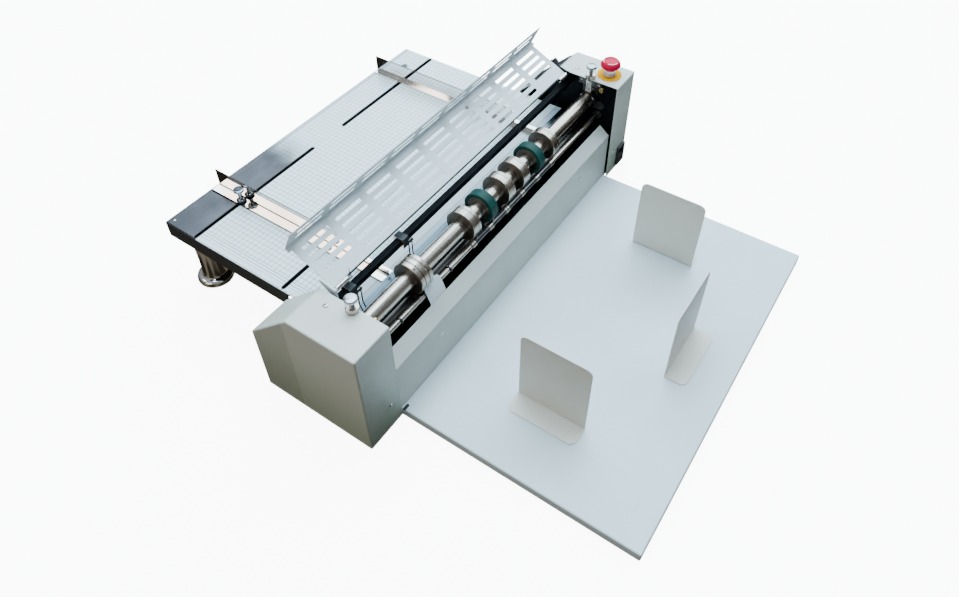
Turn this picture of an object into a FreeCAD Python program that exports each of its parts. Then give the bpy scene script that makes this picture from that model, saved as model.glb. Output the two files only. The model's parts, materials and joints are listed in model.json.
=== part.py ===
import FreeCAD, Part
import math
import os
from FreeCAD import Placement, Rotation, Vector

# Desktop paper creasing machine, in millimetres.
# X runs along the shafts, -Y is the delivery side, +Y the feed side and Z is up.
# The origin is under the middle of the machine, on the surface that it stands on.

doc = FreeCAD.newDocument("creasing_machine")
sheet = doc.addObject("Spreadsheet::Sheet", "Dimensions")

# Edges closer than this are in the same place.
SAME = 0.001

# Each row is a name, a value and what it is. A value that starts with = follows other rows.
ROWS = [
    ("running_gap", "0.05", "radial clearance of a shaft in its hole"),
    ("air", "0.3", "clearance between pieces that move"),
    ("seat_gap", "0.1", "clearance between fixed pieces that lie against each other"),
    ("overrun", "2", "length by which a cut passes its piece"),
    ("housing_width", "77.6", "width of each end housing"),
    ("housing_gap", "718.6", "clear width between the two housings"),
    ("housing_depth", "230.3", "depth of a housing"),
    ("housing_height", "233", "height of a housing"),
    ("flat_top_depth", "134.3", "depth of the level top"),
    ("rear_height", "141.4", "height where the rear slope ends"),
    ("housing_wall", "1.5", "sheet of the housings"),
    ("housing_round", "3", "bend radius of the housings"),
    ("inset", "=housing_wall + seat_gap", "side plate inside the housing's sheet"),
    ("foot_height", "9", "height of the rubber feet"),
    ("foot_radius", "11", "radius of the rubber feet"),
    ("foot_front", "25", "front feet behind the housings' front"),
    ("foot_rear", "205", "rear feet behind the housings' front"),
    ("tray_reach", "433.3", "delivery tray in front of the housings"),
    ("table_reach", "542", "feed table's rear edge behind the housings' front"),
    ("head_y", "=(tray_reach - table_reach) / 2", "housings' front face"),
    ("inner_x", "=housing_gap / 2", "inner edge of a housing"),
    ("plate_recess", "9.7", "side plate behind the housing's inner edge"),
    ("plate_wall", "12", "thickness of a side plate"),
    ("plate_x", "=inner_x + plate_recess", "inner face of a side plate"),
    ("plate_far_x", "=plate_x + plate_wall", "outer face of a side plate"),
    ("base_wall", "2", "sheet of the base"),
    ("base_flange", "16", "height of the base's front flange"),
    ("base_margin", "1.4", "gap from the base to the housings' sheet"),
    ("base_half", "=inner_x + housing_width - housing_wall - base_margin", "half width of the base"),
    ("foot_inset", "34", "rubber feet inside the base's ends"),
    ("foot_x", "=base_half - foot_inset", "rubber feet from the middle"),
    ("base_front", "6.5", "base behind the housings' front"),
    ("base_rear", "228", "base's rear edge behind the housings' front"),
    ("tab_x", "238", "front cover's screws from the middle"),
    ("tab_half", "15", "half width of the tabs that carry the front cover"),
    ("tab_height", "100", "tabs that carry the front cover"),
    ("gear_module", "2", "module of the main gears"),
    ("upper_teeth", "34", "teeth of the upper gear"),
    ("lower_teeth", "20", "teeth of the lower gear"),
    ("gear_width", "14", "face width of the gears"),
    ("axis_depth", "65", "main shafts behind the housings' front"),
    ("upper_height", "184", "upper shaft above the housings' bottom"),
    ("shaft_centres", "=gear_module * (upper_teeth + lower_teeth) / 2", "distance of the main shafts"),
    ("axis_y", "=head_y + axis_depth", "main shafts"),
    ("upper_z", "=foot_height + upper_height", "upper shaft"),
    ("lower_z", "=upper_z - shaft_centres", "lower shaft"),
    ("shaft_radius", "15", "upper shaft"),
    ("journal_radius", "10", "upper shaft in its bearings"),
    ("lower_radius", "12", "lower shaft"),
    ("lower_journal", "8", "lower shaft in its bearings"),
    ("ring_radius", "30.5", "rings on the upper shaft"),
    ("nip_gap", "0.6", "gap between upper and lower rings"),
    ("lower_ring_radius", "=shaft_centres - ring_radius - nip_gap", "rings on the lower shaft"),
    ("blade_proud", "0.4", "perforating blade over the rings"),
    ("blade_radius", "=ring_radius + blade_proud", "perforating blade"),
    ("blade_wall", "1.2", "perforating blade"),
    ("delivery_depth", "42", "delivery shaft behind the housings' front"),
    ("delivery_height", "150.2", "delivery shaft above the housings' bottom"),
    ("delivery_y", "=head_y + delivery_depth", "delivery shaft"),
    ("delivery_z", "=foot_height + delivery_height", "delivery shaft"),
    ("delivery_radius", "4.8", "delivery shaft"),
    ("roller_radius", "6.3", "dark sleeves of the delivery shaft"),
    ("band_radius", "7", "steel bands of the delivery shaft"),
    ("band_width", "9", "steel bands of the delivery shaft"),
    ("roller_pitch", "53", "distance between the steel bands"),
    ("first_roller_left", "91.5", "first steel band, to the left"),
    ("first_roller", "=-1 * first_roller_left", "first steel band"),
    ("clip_width", "3", "dark clips on the delivery shaft"),
    ("left_clip_left", "294.5", "left clip on the delivery shaft, to the left"),
    ("left_clip", "=-1 * left_clip_left", "left clip on the delivery shaft"),
    ("right_clip_left", "161.5", "right clip on the delivery shaft, to the left"),
    ("right_clip", "=-1 * right_clip_left", "right clip on the delivery shaft"),
    ("fit_gap", "0.02", "radial clearance of a hub on its shaft"),
    ("shaft_end", "358", "shoulder of the shafts from the middle"),
    ("drive_end", "430", "left end of the driven shafts"),
    ("gear_x", "=-1 * plate_far_x - 11", "middle of the main gears"),
    ("small_left", "406", "middle of the delivery pulleys, to the left"),
    ("small_x", "=-1 * small_left", "middle of the delivery pulleys"),
    ("pulley_left", "418", "middle of the drive pulleys, to the left"),
    ("pulley_x", "=-1 * pulley_left", "middle of the drive pulleys"),
    ("tooth_share", "0.44", "tooth's width as a share of the pitch"),
    ("addendum_share", "0.8", "tooth's height over the pitch circle as a share of the module"),
    ("dedendum_share", "1.2", "tooth's depth under the pitch circle as a share of the module"),
    ("flank_share", "0.36", "lean of a tooth's flank"),
    ("bush_radius", "9.5", "dark bushes on the side plates"),
    ("bush_wall", "4", "height of the dark bushes"),
    ("cap_depth", "39", "upper dark cap behind the housings' front"),
    ("cap_height", "173", "upper dark cap above the housings' bottom"),
    ("table_height", "145", "feed table above the housings' bottom"),
    ("table_half", "351", "half width of the feed table"),
    ("table_wall", "2", "sheet of the feed table"),
    ("table_skirt", "33", "height of the feed table's skirt"),
    ("table_front", "118", "table's front edge behind the housings' front"),
    ("skirt_front", "236", "skirt's front end behind the housings' front"),
    ("table_round", "3", "bend radius of the feed table"),
    ("film_wall", "0.4", "printed sheet on the table"),
    ("film_rear", "457", "printed sheet's rear edge behind the housings' front"),
    ("table_z", "=foot_height + table_height", "top of the feed table"),
    ("slot_width", "6.5", "width of the table's slots"),
    ("rear_slot_depth", "465", "rear slots behind the housings' front"),
    ("front_slot_depth", "250", "front slots behind the housings' front"),
    ("slot_inner", "45", "slots' inner ends from the middle"),
    ("slot_outer", "345", "slots' outer ends from the middle"),
    ("ramp_tip", "84", "infeed plate's tip behind the housings' front"),
    ("ramp_rise", "6", "rise of the infeed plate"),
    ("ramp_wall", "1.5", "sheet of the infeed plate"),
    ("ramp_half", "340", "half width of the infeed plate"),
    ("tie_radius", "8", "tie rods between the side plates"),
    ("tie_depth", "136", "front tie rod behind the housings' front"),
    ("tie_pitch", "76", "distance of the tie rods"),
    ("leg_radius", "35", "chrome leg at its lip"),
    ("leg_neck", "19.5", "chrome leg at its neck"),
    ("leg_top", "24", "chrome leg under the table"),
    ("leg_lip", "5", "height of the leg's lip"),
    ("leg_flare", "34", "height of the leg's flare"),
    ("leg_side_margin", "36.3", "legs inside the table's sides"),
    ("leg_rear_margin", "41.6", "legs in front of the table's rear edge"),
    ("leg_half", "=table_half - leg_side_margin", "leg from the middle"),
    ("leg_depth", "=table_reach - leg_rear_margin", "legs behind the housings' front"),
    ("guide_height", "38", "side guide's upright flange"),
    ("guide_wall", "1.5", "sheet of the side guides"),
    ("guide_foot", "21", "side guide's foot"),
    ("guide_lip", "9", "side guide's lip on the paper side"),
    ("guide_low", "10", "side guide's height under the crossbar"),
    ("guide_low_depth", "168", "end of the guide's low part behind the housings' front"),
    ("guide_front", "121", "guide's front end behind the housings' front"),
    ("guide_rear", "536", "guide's rear end behind the housings' front"),
    ("left_guide_left", "224", "left guide's upright, to the left"),
    ("left_guide", "=-1 * left_guide_left", "left guide's upright"),
    ("right_guide", "240", "right guide's upright"),
    ("guide_knob_radius", "10", "guide knob"),
    ("guide_knob_wall", "5", "height of the guide knob's disc"),
    ("guide_post_radius", "2.9", "guide knob's post"),
    ("guide_nut_radius", "6.5", "guide knob's collar"),
    ("guide_knob_height", "32", "guide knob's top above the table"),
    ("knob_offset", "11.5", "guide knob from the upright"),
    ("cover_wall", "1.5", "sheet of the front cover"),
    ("cover_low", "5", "front cover's lower edge"),
    ("cover_bend_height", "116.1", "front cover's fold"),
    ("cover_top_height", "134.6", "front cover's upper edge"),
    ("cover_front", "5", "front cover behind the housings' front"),
    ("cover_top_depth", "27.8", "front cover's upper edge behind the housings' front"),
    ("cover_return", "12", "front cover's hidden return"),
    ("cover_half", "356", "half width of the front cover"),
    ("hinge_depth", "113.6", "hinge of the safety cover behind the housings' front"),
    ("hinge_height", "232.6", "hinge of the safety cover above the housings' bottom"),
    ("open_angle", "25.6", "safety cover's slope as it stands open, degrees"),
    ("hinge_y", "=head_y + hinge_depth", "hinge of the safety cover"),
    ("hinge_z", "=foot_height + hinge_height", "hinge of the safety cover"),
    ("guard_length", "99", "safety cover from hinge to fold"),
    ("guard_lip", "46", "safety cover's lip"),
    ("guard_wall", "1.2", "sheet of the safety cover"),
    ("guard_half", "355", "half width of the safety cover's lip"),
    ("guard_side_cut", "6", "how far the safety cover steps in at its ends"),
    ("guard_step", "90", "where the step in ends"),
    ("guard_slot", "59", "length of a slot"),
    ("guard_slot_width", "6.4", "width of a slot"),
    ("guard_slot_pitch", "76.6", "distance of the slot columns"),
    ("guard_row_pitch", "15.6", "distance of the slot rows"),
    ("guard_first_row", "18.8", "first slot row from the hinge"),
    ("guard_lip_row", "15", "first slot row of the lip from the fold"),
    ("knuckle_radius", "4.5", "hinge knuckle"),
    ("knuckle_length", "26", "hinge knuckle"),
    ("knuckle_end", "347", "hinge knuckle's outer end"),
    ("pin_radius", "2.5", "hinge pin"),
    ("bracket_x", "350", "hinge bracket's inner face from the middle"),
    ("bracket_wall", "4", "hinge bracket"),
    ("bracket_half", "5", "half width of the hinge bracket"),
    ("rest_half", "3", "half width of the hinge bracket's arm at its rest"),
    ("rest_reach", "23.8", "cover's rest behind the hinge"),
    ("rest_rise", "8.2", "cover's rest above the hinge"),
    ("rest_radius", "2", "cover's rest"),
    ("rest_length", "14", "cover's rest"),
    ("bar_size", "12", "section of the crossbar"),
    ("bar_depth", "107", "crossbar behind the housings' front"),
    ("bar_height", "203", "crossbar above the housings' bottom"),
    ("clamp_width", "14", "clamp on the crossbar"),
    ("clamp_wall", "4", "clamp round the crossbar"),
    ("left_clamp_left", "323", "left clamp, to the left"),
    ("left_clamp", "=-1 * left_clamp_left", "left clamp"),
    ("right_clamp_left", "194", "right clamp, to the left"),
    ("right_clamp", "=-1 * right_clamp_left", "right clamp"),
    ("wire_radius", "1.1", "wire fingers"),
    ("wire_pitch", "8", "distance of the two wire fingers"),
    ("wire_drop", "31", "upright run of a wire finger"),
    ("wire_foot", "20", "slanted run of a wire finger, downwards"),
    ("wire_reach", "9", "slanted run of a wire finger, forwards"),
    ("screw_x", "365", "pressure screw from the middle"),
    ("screw_radius", "4", "pressure screw"),
    ("screw_head_radius", "10.5", "pressure screw's head"),
    ("screw_head_wall", "6", "pressure screw's head"),
    ("screw_top", "29", "pressure screw's top above the housing"),
    ("nut_radius", "11", "lock nut"),
    ("nut_wall", "9", "lock nut"),
    ("block_width", "34", "bearing block"),
    ("block_low", "22", "bearing block under its axis"),
    ("block_high", "24", "bearing block over its axis"),
    ("column_size", "12", "steel column over the bearing"),
    ("retainer_width", "52", "steel retainer plate"),
    ("retainer_height", "16", "steel retainer plate"),
    ("retainer_wall", "3", "steel retainer plate"),
    ("collar_radius", "18.5", "dark collar at the shaft's ends"),
    ("stop_x", "395.4", "emergency stop from the middle"),
    ("stop_depth", "37.8", "emergency stop behind the housings' front"),
    ("stop_ring_radius", "25", "emergency stop's yellow disc"),
    ("stop_ring_wall", "1.5", "emergency stop's yellow disc"),
    ("stop_collar_radius", "13.5", "emergency stop's collar"),
    ("stop_collar_height", "10", "emergency stop's collar"),
    ("stop_head_radius", "20", "emergency stop's head"),
    ("stop_head_height", "19.5", "emergency stop's head"),
    ("stop_lift", "15", "emergency stop's head over its disc"),
    ("stop_shank_radius", "10.8", "emergency stop's threaded shank"),
    ("stop_shank_length", "34", "emergency stop's shank and contact block"),
    ("stop_stem_radius", "8", "emergency stop's stem"),
    ("inlet_x", "412", "power inlet from the middle"),
    ("inlet_height", "34", "power inlet above the housings' bottom"),
    ("inlet_width", "30", "power inlet"),
    ("inlet_tall", "48", "power inlet"),
    ("inlet_proud", "6", "power inlet in front of the housing"),
    ("inlet_depth", "24", "power inlet behind the housing's front"),
    ("inlet_rim", "1.8", "inlet's rim"),
    ("socket_width", "24", "inlet's socket"),
    ("socket_tall", "17", "inlet's socket"),
    ("socket_lift", "9", "inlet's socket over its middle"),
    ("socket_depth", "15", "inlet's socket"),
    ("panel_width", "60", "control panel"),
    ("panel_length", "104", "control panel"),
    ("panel_wall", "2.5", "control panel"),
    ("slope_run", "=housing_depth - flat_top_depth", "housing's rear slope"),
    ("slope_fall", "=housing_height - rear_height", "housing's rear slope"),
    ("slope_angle", "=atan(slope_fall / slope_run) / 1 deg", "housing's rear slope in degrees"),
    ("dial_offset", "26", "speed knob up the slope from the panel's middle"),
    ("button_offset", "24", "start button down the slope from the panel's middle"),
    ("bezel_radius", "10", "start button's bezel"),
    ("bezel_height", "4", "start button's bezel"),
    ("dial_radius", "11", "speed knob"),
    ("dial_height", "14", "speed knob"),
    ("button_radius", "7", "start button"),
    ("button_height", "6", "start button"),
    ("button_travel", "2", "start button"),
    ("motor_radius", "30", "motor"),
    ("motor_length", "105", "motor"),
    ("motor_depth", "150", "motor behind the housings' front"),
    ("motor_height", "66", "motor above the housings' bottom"),
    ("motor_shaft", "6", "motor's shaft"),
    ("pulley_wall", "10", "drive pulleys"),
    ("motor_pulley", "12", "motor's pulley"),
    ("drive_pulley", "24", "pulley on the lower shaft"),
    ("small_wall", "6", "delivery pulleys"),
    ("delivery_drive", "14", "delivery's pulley on the lower shaft"),
    ("delivery_pulley", "7", "pulley on the delivery shaft"),
    ("belt_wall", "2", "belts"),
    ("tray_half", "355", "half width of the delivery tray"),
    ("tray_height", "17.8", "top of the delivery tray"),
    ("tray_wall", "1.5", "sheet of the delivery tray"),
    ("tray_round", "3", "bend radius of the delivery tray"),
    ("bookend_width", "127", "tray stop"),
    ("bookend_height", "158", "tray stop"),
    ("bookend_foot", "40", "tray stop's foot"),
    ("bookend_wall", "1.5", "sheet of the tray stops"),
    ("bookend_round", "13", "corners of the tray stops"),
    ("bookend_bend", "2.5", "bend of the tray stops"),
    ("left_bookend_left", "220", "left tray stop's face, to the left"),
    ("left_bookend", "=-1 * left_bookend_left", "left tray stop's face"),
    ("right_bookend", "205", "right tray stop's face"),
    ("side_bookend_front", "267", "side stops' front edge before the housings"),
    ("end_bookend_reach", "330", "end stop's face before the housings"),
    ("end_edge_left", "57", "end stop's left edge, to the left"),
    ("end_bookend_left", "=-1 * end_edge_left", "end stop's left edge"),
    ("oiler_radius", "2.6", "oilers' stems"),
    ("oiler_length", "13", "oilers' stems"),
    ("oiler_tip", "4.6", "oilers' heads"),
    ("oiler_head", "4", "oilers' heads"),
    ("oiler_depth", "33", "oilers behind the housings' front"),
    ("oiler_height", "220", "oilers above the housings' bottom"),
    ("bolt_radius", "3.2", "screw heads"),
    ("cover_screw_height", "82", "front cover's screws above the housings' bottom"),
    ("front_screw_x", "382", "housings' front screws from the middle"),
    ("front_screw_height", "57.5", "housings' front screws above their bottom"),
    ("top_screw_x", "380.6", "housings' top screws from the middle"),
    ("top_screw_depth", "104.6", "housings' top screws behind the front"),
    ("screw_margin", "12", "table's corner screws from its edges"),
    ("bolt_head", "1.6", "screw heads"),
]

RING_ROWS = [
    ("wheel_left", "225.4", "middle of the perforating wheel, to the left"),
    ("wheel_x", "=-1 * wheel_left", "middle of the perforating wheel"),
    ("wheel_length", "30", "perforating wheel's holder"),
    ("first_collar_left", "83", "middle of the first collar, to the left"),
    ("first_collar_x", "=-1 * first_collar_left", "middle of the first collar"),
    ("first_collar_length", "22", "first collar"),
    ("left_tyre_left", "30", "middle of the left rubber ring, to the left"),
    ("left_tyre_x", "=-1 * left_tyre_left", "middle of the left rubber ring"),
    ("tyre_length", "20", "rubber rings"),
    ("left_crease_x", "27", "middle of the left creasing ring"),
    ("crease_length", "21", "creasing rings"),
    ("right_crease_x", "76.7", "middle of the right creasing ring"),
    ("right_tyre_x", "131", "middle of the right rubber ring"),
    ("last_collar_x", "183.5", "middle of the last collar"),
    ("collar_ring_radius", "30.3", "first and last collars"),
    ("tyre_core", "24", "steel hub of the rubber rings"),
    ("blade_slot", "24", "radius where the blade's slot ends"),
    ("blade_slot_half", "=blade_wall / 2 + 2 * fit_gap", "half width of the blade's slot"),
    ("groove_depth", "1.5", "grooves of the rings"),
    ("ring_line", "3.2", "rings' grooves from their middle"),
    ("blade_shift", "4.6", "perforating blade from the middle of its holder"),
    ("holder_line", "5", "holder's groove from its middle"),
    ("fine_groove", "0.5", "half width of the holder's groove"),
    ("last_collar_length", "20", "last collar"),
    ("groove", "1", "grooves of the rings"),
]

names = []
for number, (alias, value, meaning) in enumerate(ROWS + RING_ROWS, start=1):
    sheet.set("A%d" % number, meaning)
    sheet.set("B%d" % number, value)
    sheet.setAlias("B%d" % number, alias)
    names.append(alias)
doc.recompute()


def product(text):
    value = 1.0
    sign = "*"
    for word in text.split():
        if word in ("*", "/"):
            sign = word
            continue
        number = float(sheet.get(word)) if word in names else float(word)
        value = value * number if sign == "*" else value / number
    return value


def size(text):
    """Value of a sum of named sizes, such as 'head_y + axis_depth'."""
    total = 0.0
    sign = 1.0
    part = []
    for word in str(text).split() + ["+"]:
        if word in ("+", "-"):
            if part:
                total += sign * product(" ".join(part))
                sign = 1.0
                part = []
            if word == "-":
                sign = -sign
        else:
            part.append(word)
    return total


def ref(text):
    """The same sum as an expression that reads the sheet."""
    words = ["Dimensions." + word if word in names else word for word in str(text).split()]
    return " ".join(words)


def place(piece, x=0, y=0, z=0):
    for axis, text in (("x", x), ("y", y), ("z", z)):
        piece.setExpression("Placement.Base." + axis, ref(text))


def name(piece, label):
    piece.Label = label
    subparts.append(piece)
    return piece


def hide(text):
    counters[text] = counters.get(text, 0) + 1
    return "%s_%d" % (text, counters[text])


def box(length, width, height, x, y, z):
    piece = doc.addObject("Part::Box", hide("block"))
    piece.setExpression("Length", ref(length))
    piece.setExpression("Width", ref(width))
    piece.setExpression("Height", ref(height))
    place(piece, x, y, z)
    return piece


TURN = {
    "X": Rotation(Vector(0, 1, 0), 90),
    "Y": Rotation(Vector(1, 0, 0), -90),
    "Z": Rotation(),
}


def rod(radius, length, x, y, z, along="X"):
    piece = doc.addObject("Part::Cylinder", hide("rod"))
    piece.Placement = Placement(Vector(), TURN[along])
    piece.setExpression("Radius", ref(radius))
    piece.setExpression("Height", ref(length))
    place(piece, x, y, z)
    return piece


def join(*pieces):
    if len(pieces) == 1:
        return pieces[0]
    piece = doc.addObject("Part::MultiFuse", hide("joined"))
    piece.Shapes = list(pieces)
    return piece


def group(*pieces):
    piece = doc.addObject("Part::Compound", hide("group"))
    piece.Links = list(pieces)
    return piece


def cut(base, *tools):
    piece = doc.addObject("Part::Cut", hide("cut"))
    piece.Base = base
    piece.Tool = join(*tools)
    return piece


def tube(outer, inner, length, x, y, z, along="X"):
    reach = {"X": (x + " - overrun", y, z), "Y": (x, y + " - overrun", z), "Z": (x, y, z + " - overrun")}
    bore = rod(inner, length + " + 2 * overrun", *reach[along], along)
    return cut(rod(outer, length, x, y, z, along), bore)


def edges_where(shape, test):
    return ["Edge%d" % (n + 1) for n, edge in enumerate(shape.Edges) if test(edge)]


def new_body():
    return doc.addObject("PartDesign::Body", hide("body"))


def origin(body, role):
    return [item for item in body.Origin.OriginFeatures if item.Role == role][0]


def outline(body, plane, *loops):
    """Sketch of closed loops through named points; a third value rounds that corner."""
    import Sketcher
    sketch = body.newObject("Sketcher::SketchObject", hide("outline"))
    sketch.AttachmentSupport = [(origin(body, plane), "")]
    sketch.MapMode = "FlatFace"
    for points in loops:
        draw(sketch, points)
    doc.recompute()
    return sketch


def draw(sketch, points):
    import Sketcher
    corners = [Vector(size(p[0]), size(p[1]), 0) for p in points]
    rounds = [size(p[2]) if len(p) > 2 else 0.0 for p in points]
    count = len(points)
    entry = []
    leave = []
    for n in range(count):
        back = (corners[n - 1] - corners[n]).normalize()
        ahead = (corners[(n + 1) % count] - corners[n]).normalize()
        trim = 0.0
        if rounds[n]:
            trim = rounds[n] / math.tan(back.getAngle(ahead) / 2)
        entry.append(corners[n] + back * trim)
        leave.append(corners[n] + ahead * trim)
    lines = []
    for n in range(count):
        line = Part.LineSegment(leave[n], entry[(n + 1) % count])
        lines.append(sketch.addGeometry(line, False))
    for n in range(count):
        before, after = lines[n - 1], lines[n]
        held, end_number = after, 1
        if rounds[n]:
            mark = sketch.addGeometry(Part.Point(corners[n]), True)
            back = (corners[n - 1] - corners[n]).normalize()
            ahead = (corners[(n + 1) % count] - corners[n]).normalize()
            middle = (back + ahead).normalize() * (rounds[n] / math.sin(back.getAngle(ahead) / 2))
            centre = corners[n] + middle
            forward = (entry[n] - centre).cross(leave[n] - centre).z > 0
            first, last = (entry[n], leave[n]) if forward else (leave[n], entry[n])
            start = math.atan2(first.y - centre.y, first.x - centre.x)
            end = math.atan2(last.y - centre.y, last.x - centre.x)
            circle = Part.Circle(centre, Vector(0, 0, 1), rounds[n])
            arc = sketch.addGeometry(Part.ArcOfCircle(circle, start, end), False)
            near, far = (1, 2) if forward else (2, 1)
            sketch.addConstraint(Sketcher.Constraint("Tangent", before, 2, arc, near))
            sketch.addConstraint(Sketcher.Constraint("Tangent", arc, far, after, 1))
            sketch.addConstraint(Sketcher.Constraint("PointOnObject", mark, 1, before))
            sketch.addConstraint(Sketcher.Constraint("PointOnObject", mark, 1, after))
            held = mark
            radius = sketch.addConstraint(Sketcher.Constraint("Radius", arc, rounds[n]))
            sketch.setExpression("Constraints[%d]" % radius, ref(points[n][2]))
        else:
            sketch.addConstraint(Sketcher.Constraint("Coincident", before, 2, after, 1))
        for kind, value, text in (
            ("DistanceX", corners[n].x, points[n][0]),
            ("DistanceY", corners[n].y, points[n][1]),
        ):
            rule = Sketcher.Constraint(kind, -1, 1, held, end_number, value)
            index = sketch.addConstraint(rule)
            sketch.setExpression("Constraints[%d]" % index, ref(text))


def rectangle(x1, y1, x2, y2, *corner):
    return [(x1, y1) + corner, (x2, y1) + corner, (x2, y2) + corner, (x1, y2) + corner]


def pad(body, sketch, length, middle=True):
    feature = body.newObject("PartDesign::Pad", hide("pad"))
    feature.Profile = sketch
    feature.setExpression("Length", ref(length))
    feature.SideType = "Symmetric" if middle else "One side"
    sketch.Visibility = False
    body.Tip = feature
    doc.recompute()
    return feature


def pocket(body, sketch, length=None, away=False, both=False):
    before = body.Tip.Shape.Volume
    feature = body.newObject("PartDesign::Pocket", hide("pocket"))
    feature.Profile = sketch
    feature.Reversed = away
    if length is None:
        feature.Type = "ThroughAll"
        feature.SideType = "Symmetric" if both else "One side"
    else:
        feature.setExpression("Length", ref(length))
        feature.SideType = "Symmetric" if both else "One side"
    body.Tip = feature
    doc.recompute()
    if feature.Shape.Volume > before - 1e-6:
        raise RuntimeError(body.Name + ": a pocket cuts nothing")
    return feature


def round_edges(body, radius, test):
    base = body.Tip
    feature = body.newObject("PartDesign::Fillet", hide("round"))
    feature.Base = (base, edges_where(base.Shape, test))
    feature.setExpression("Radius", ref(radius))
    body.Tip = feature
    doc.recompute()
    return feature


def revolve(body, points):
    """Turned piece: points are radius and height, turned about the body's Z axis."""
    sketch = outline(body, "XZ_Plane", points)
    feature = body.newObject("PartDesign::Revolution", hide("turned"))
    feature.Profile = sketch
    feature.ReferenceAxis = (origin(body, "Z_Axis"), [""])
    feature.Angle = 360
    body.Tip = feature
    doc.recompute()
    return feature


def copies(body, feature, direction, pitch, count):
    pattern = body.newObject("PartDesign::LinearPattern", hide("row"))
    pattern.Originals = [feature]
    pattern.Direction = (origin(body, direction), [""])
    pattern.Mode = "Spacing"
    pattern.setExpression("Offset", ref(pitch))
    pattern.Occurrences = count
    body.Tip = pattern
    doc.recompute()
    return pattern


counters = {}
subparts = []


# Side plates, with an open slot for the upper bearing block and bores for the other shafts.
def side_plate(side, label):
    body = new_body()
    low = "foot_height + base_wall"
    points = [
        ("head_y + inset", low),
        ("head_y + housing_depth - inset", low),
        ("head_y + housing_depth - inset", "foot_height + rear_height - inset"),
        ("head_y + flat_top_depth - inset", "foot_height + housing_height - inset"),
        ("head_y + inset", "foot_height + housing_height - inset"),
    ]
    pad(body, outline(body, "YZ_Plane", points), "plate_wall")
    slot = [
        ("axis_y - block_width / 2", "upper_z - block_low"),
        ("axis_y + block_width / 2", "upper_z - block_low"),
        ("axis_y + block_width / 2", "foot_height + housing_height + overrun"),
        ("axis_y - block_width / 2", "foot_height + housing_height + overrun"),
    ]
    pocket(body, outline(body, "YZ_Plane", slot), both=True)
    place(body, side + " * plate_x + " + side + " * plate_wall / 2")
    start = side + " * plate_x - plate_wall - overrun"
    reach = "2 * plate_wall + 2 * overrun"
    holes = [
        rod("lower_journal + running_gap", reach, start, "axis_y", "lower_z"),
        rod("delivery_radius + running_gap", reach, start, "delivery_y", "delivery_z"),
    ]
    if side == "-1":
        holes.append(rod("motor_shaft + air", reach, start, "head_y + motor_depth", "foot_height + motor_height"))
    return name(cut(body, *holes), label)


side_plate("-1", "side_plate_left")
side_plate("1", "side_plate_right")


# Sheet housings over the side plates, open at the bottom and at the side plate.
def housing(side, label):
    body = new_body()
    top = "foot_height + housing_height"
    rear = "head_y + housing_depth"
    points = [
        ("head_y", "foot_height"),
        (rear, "foot_height"),
        (rear, "foot_height + rear_height"),
        ("head_y + flat_top_depth", top),
        ("head_y", top),
    ]
    pad(body, outline(body, "YZ_Plane", points), "housing_width")
    outer = size("housing_width / 2") * float(side)
    low = size("foot_height")

    def is_bend(edge):
        centre = edge.CenterOfMass
        flat = abs(centre.z - low) < SAME
        inner = abs(centre.x + outer) < SAME
        along = abs(edge.Vertexes[0].X - edge.Vertexes[1].X) > SAME
        return not flat and not inner and (not along or centre.z > low + SAME)

    round_edges(body, "housing_round", is_bend)
    hollow = [
        ("head_y + housing_wall", "foot_height - overrun"),
        (rear + " - housing_wall", "foot_height - overrun"),
        (rear + " - housing_wall", "foot_height + rear_height - housing_wall / 2"),
        ("head_y + flat_top_depth - housing_wall / 2", top + " - housing_wall"),
        ("head_y + housing_wall", top + " - housing_wall"),
    ]
    sketch = outline(body, "YZ_Plane", hollow)
    sketch.setExpression("AttachmentOffset.Base.z", ref("-1 * " + side + " * housing_wall"))
    pocket(body, sketch, "housing_width", both=True)
    place(body, side + " * inner_x + " + side + " * housing_width / 2")
    knob = side + " * screw_x"
    start = "inner_x - overrun" if side == "1" else "-1 * screw_x"
    notch = [
        rod("screw_radius + air", "housing_wall + 2 * overrun", knob, "axis_y",
            top + " - housing_wall - overrun", "Z"),
        box("screw_x - inner_x + overrun", "2 * screw_radius + 2 * air", "housing_wall + 2 * overrun",
            start, "axis_y - screw_radius - air", top + " - housing_wall - overrun"),
    ]
    if side == "1":
        notch.append(rod("stop_shank_radius + seat_gap", "housing_wall + 2 * overrun", "stop_x",
                         "head_y + stop_depth", top + " - housing_wall - overrun", "Z"))
        notch.append(box("inlet_width - 2 * inlet_rim", "4 * housing_wall", "inlet_tall - 2 * inlet_rim",
                         "inlet_x - inlet_width / 2 + inlet_rim", "head_y - housing_wall",
                         "foot_height + inlet_height - inlet_tall / 2 + inlet_rim"))
    return name(cut(body, *notch), label)


housing("-1", "housing_left")
housing("1", "housing_right")

# Base plate with a low front flange and two tabs that carry the front cover.
tabs = []
for side in ("-1", "1"):
    tabs.append(box("2 * tab_half", "cover_wall", "tab_height",
                    side + " * tab_x - tab_half", "head_y + base_front", "foot_height"))
base = join(
    box("2 * base_half", "base_rear - base_front", "base_wall",
        "-1 * base_half", "head_y + base_front", "foot_height"),
    box("2 * plate_x - 2 * seat_gap", "cover_wall", "base_flange", "-1 * plate_x + seat_gap",
        "head_y + base_front", "foot_height"),
    *tabs,
)
name(base, "base_plate")

feet = []
for side in ("-1", "1"):
    for depth in ("foot_front", "foot_rear"):
        feet.append(rod("foot_radius", "foot_height", side + " * foot_x", "head_y + " + depth, 0, "Z"))
name(group(*feet), "rubber_feet")

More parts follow.
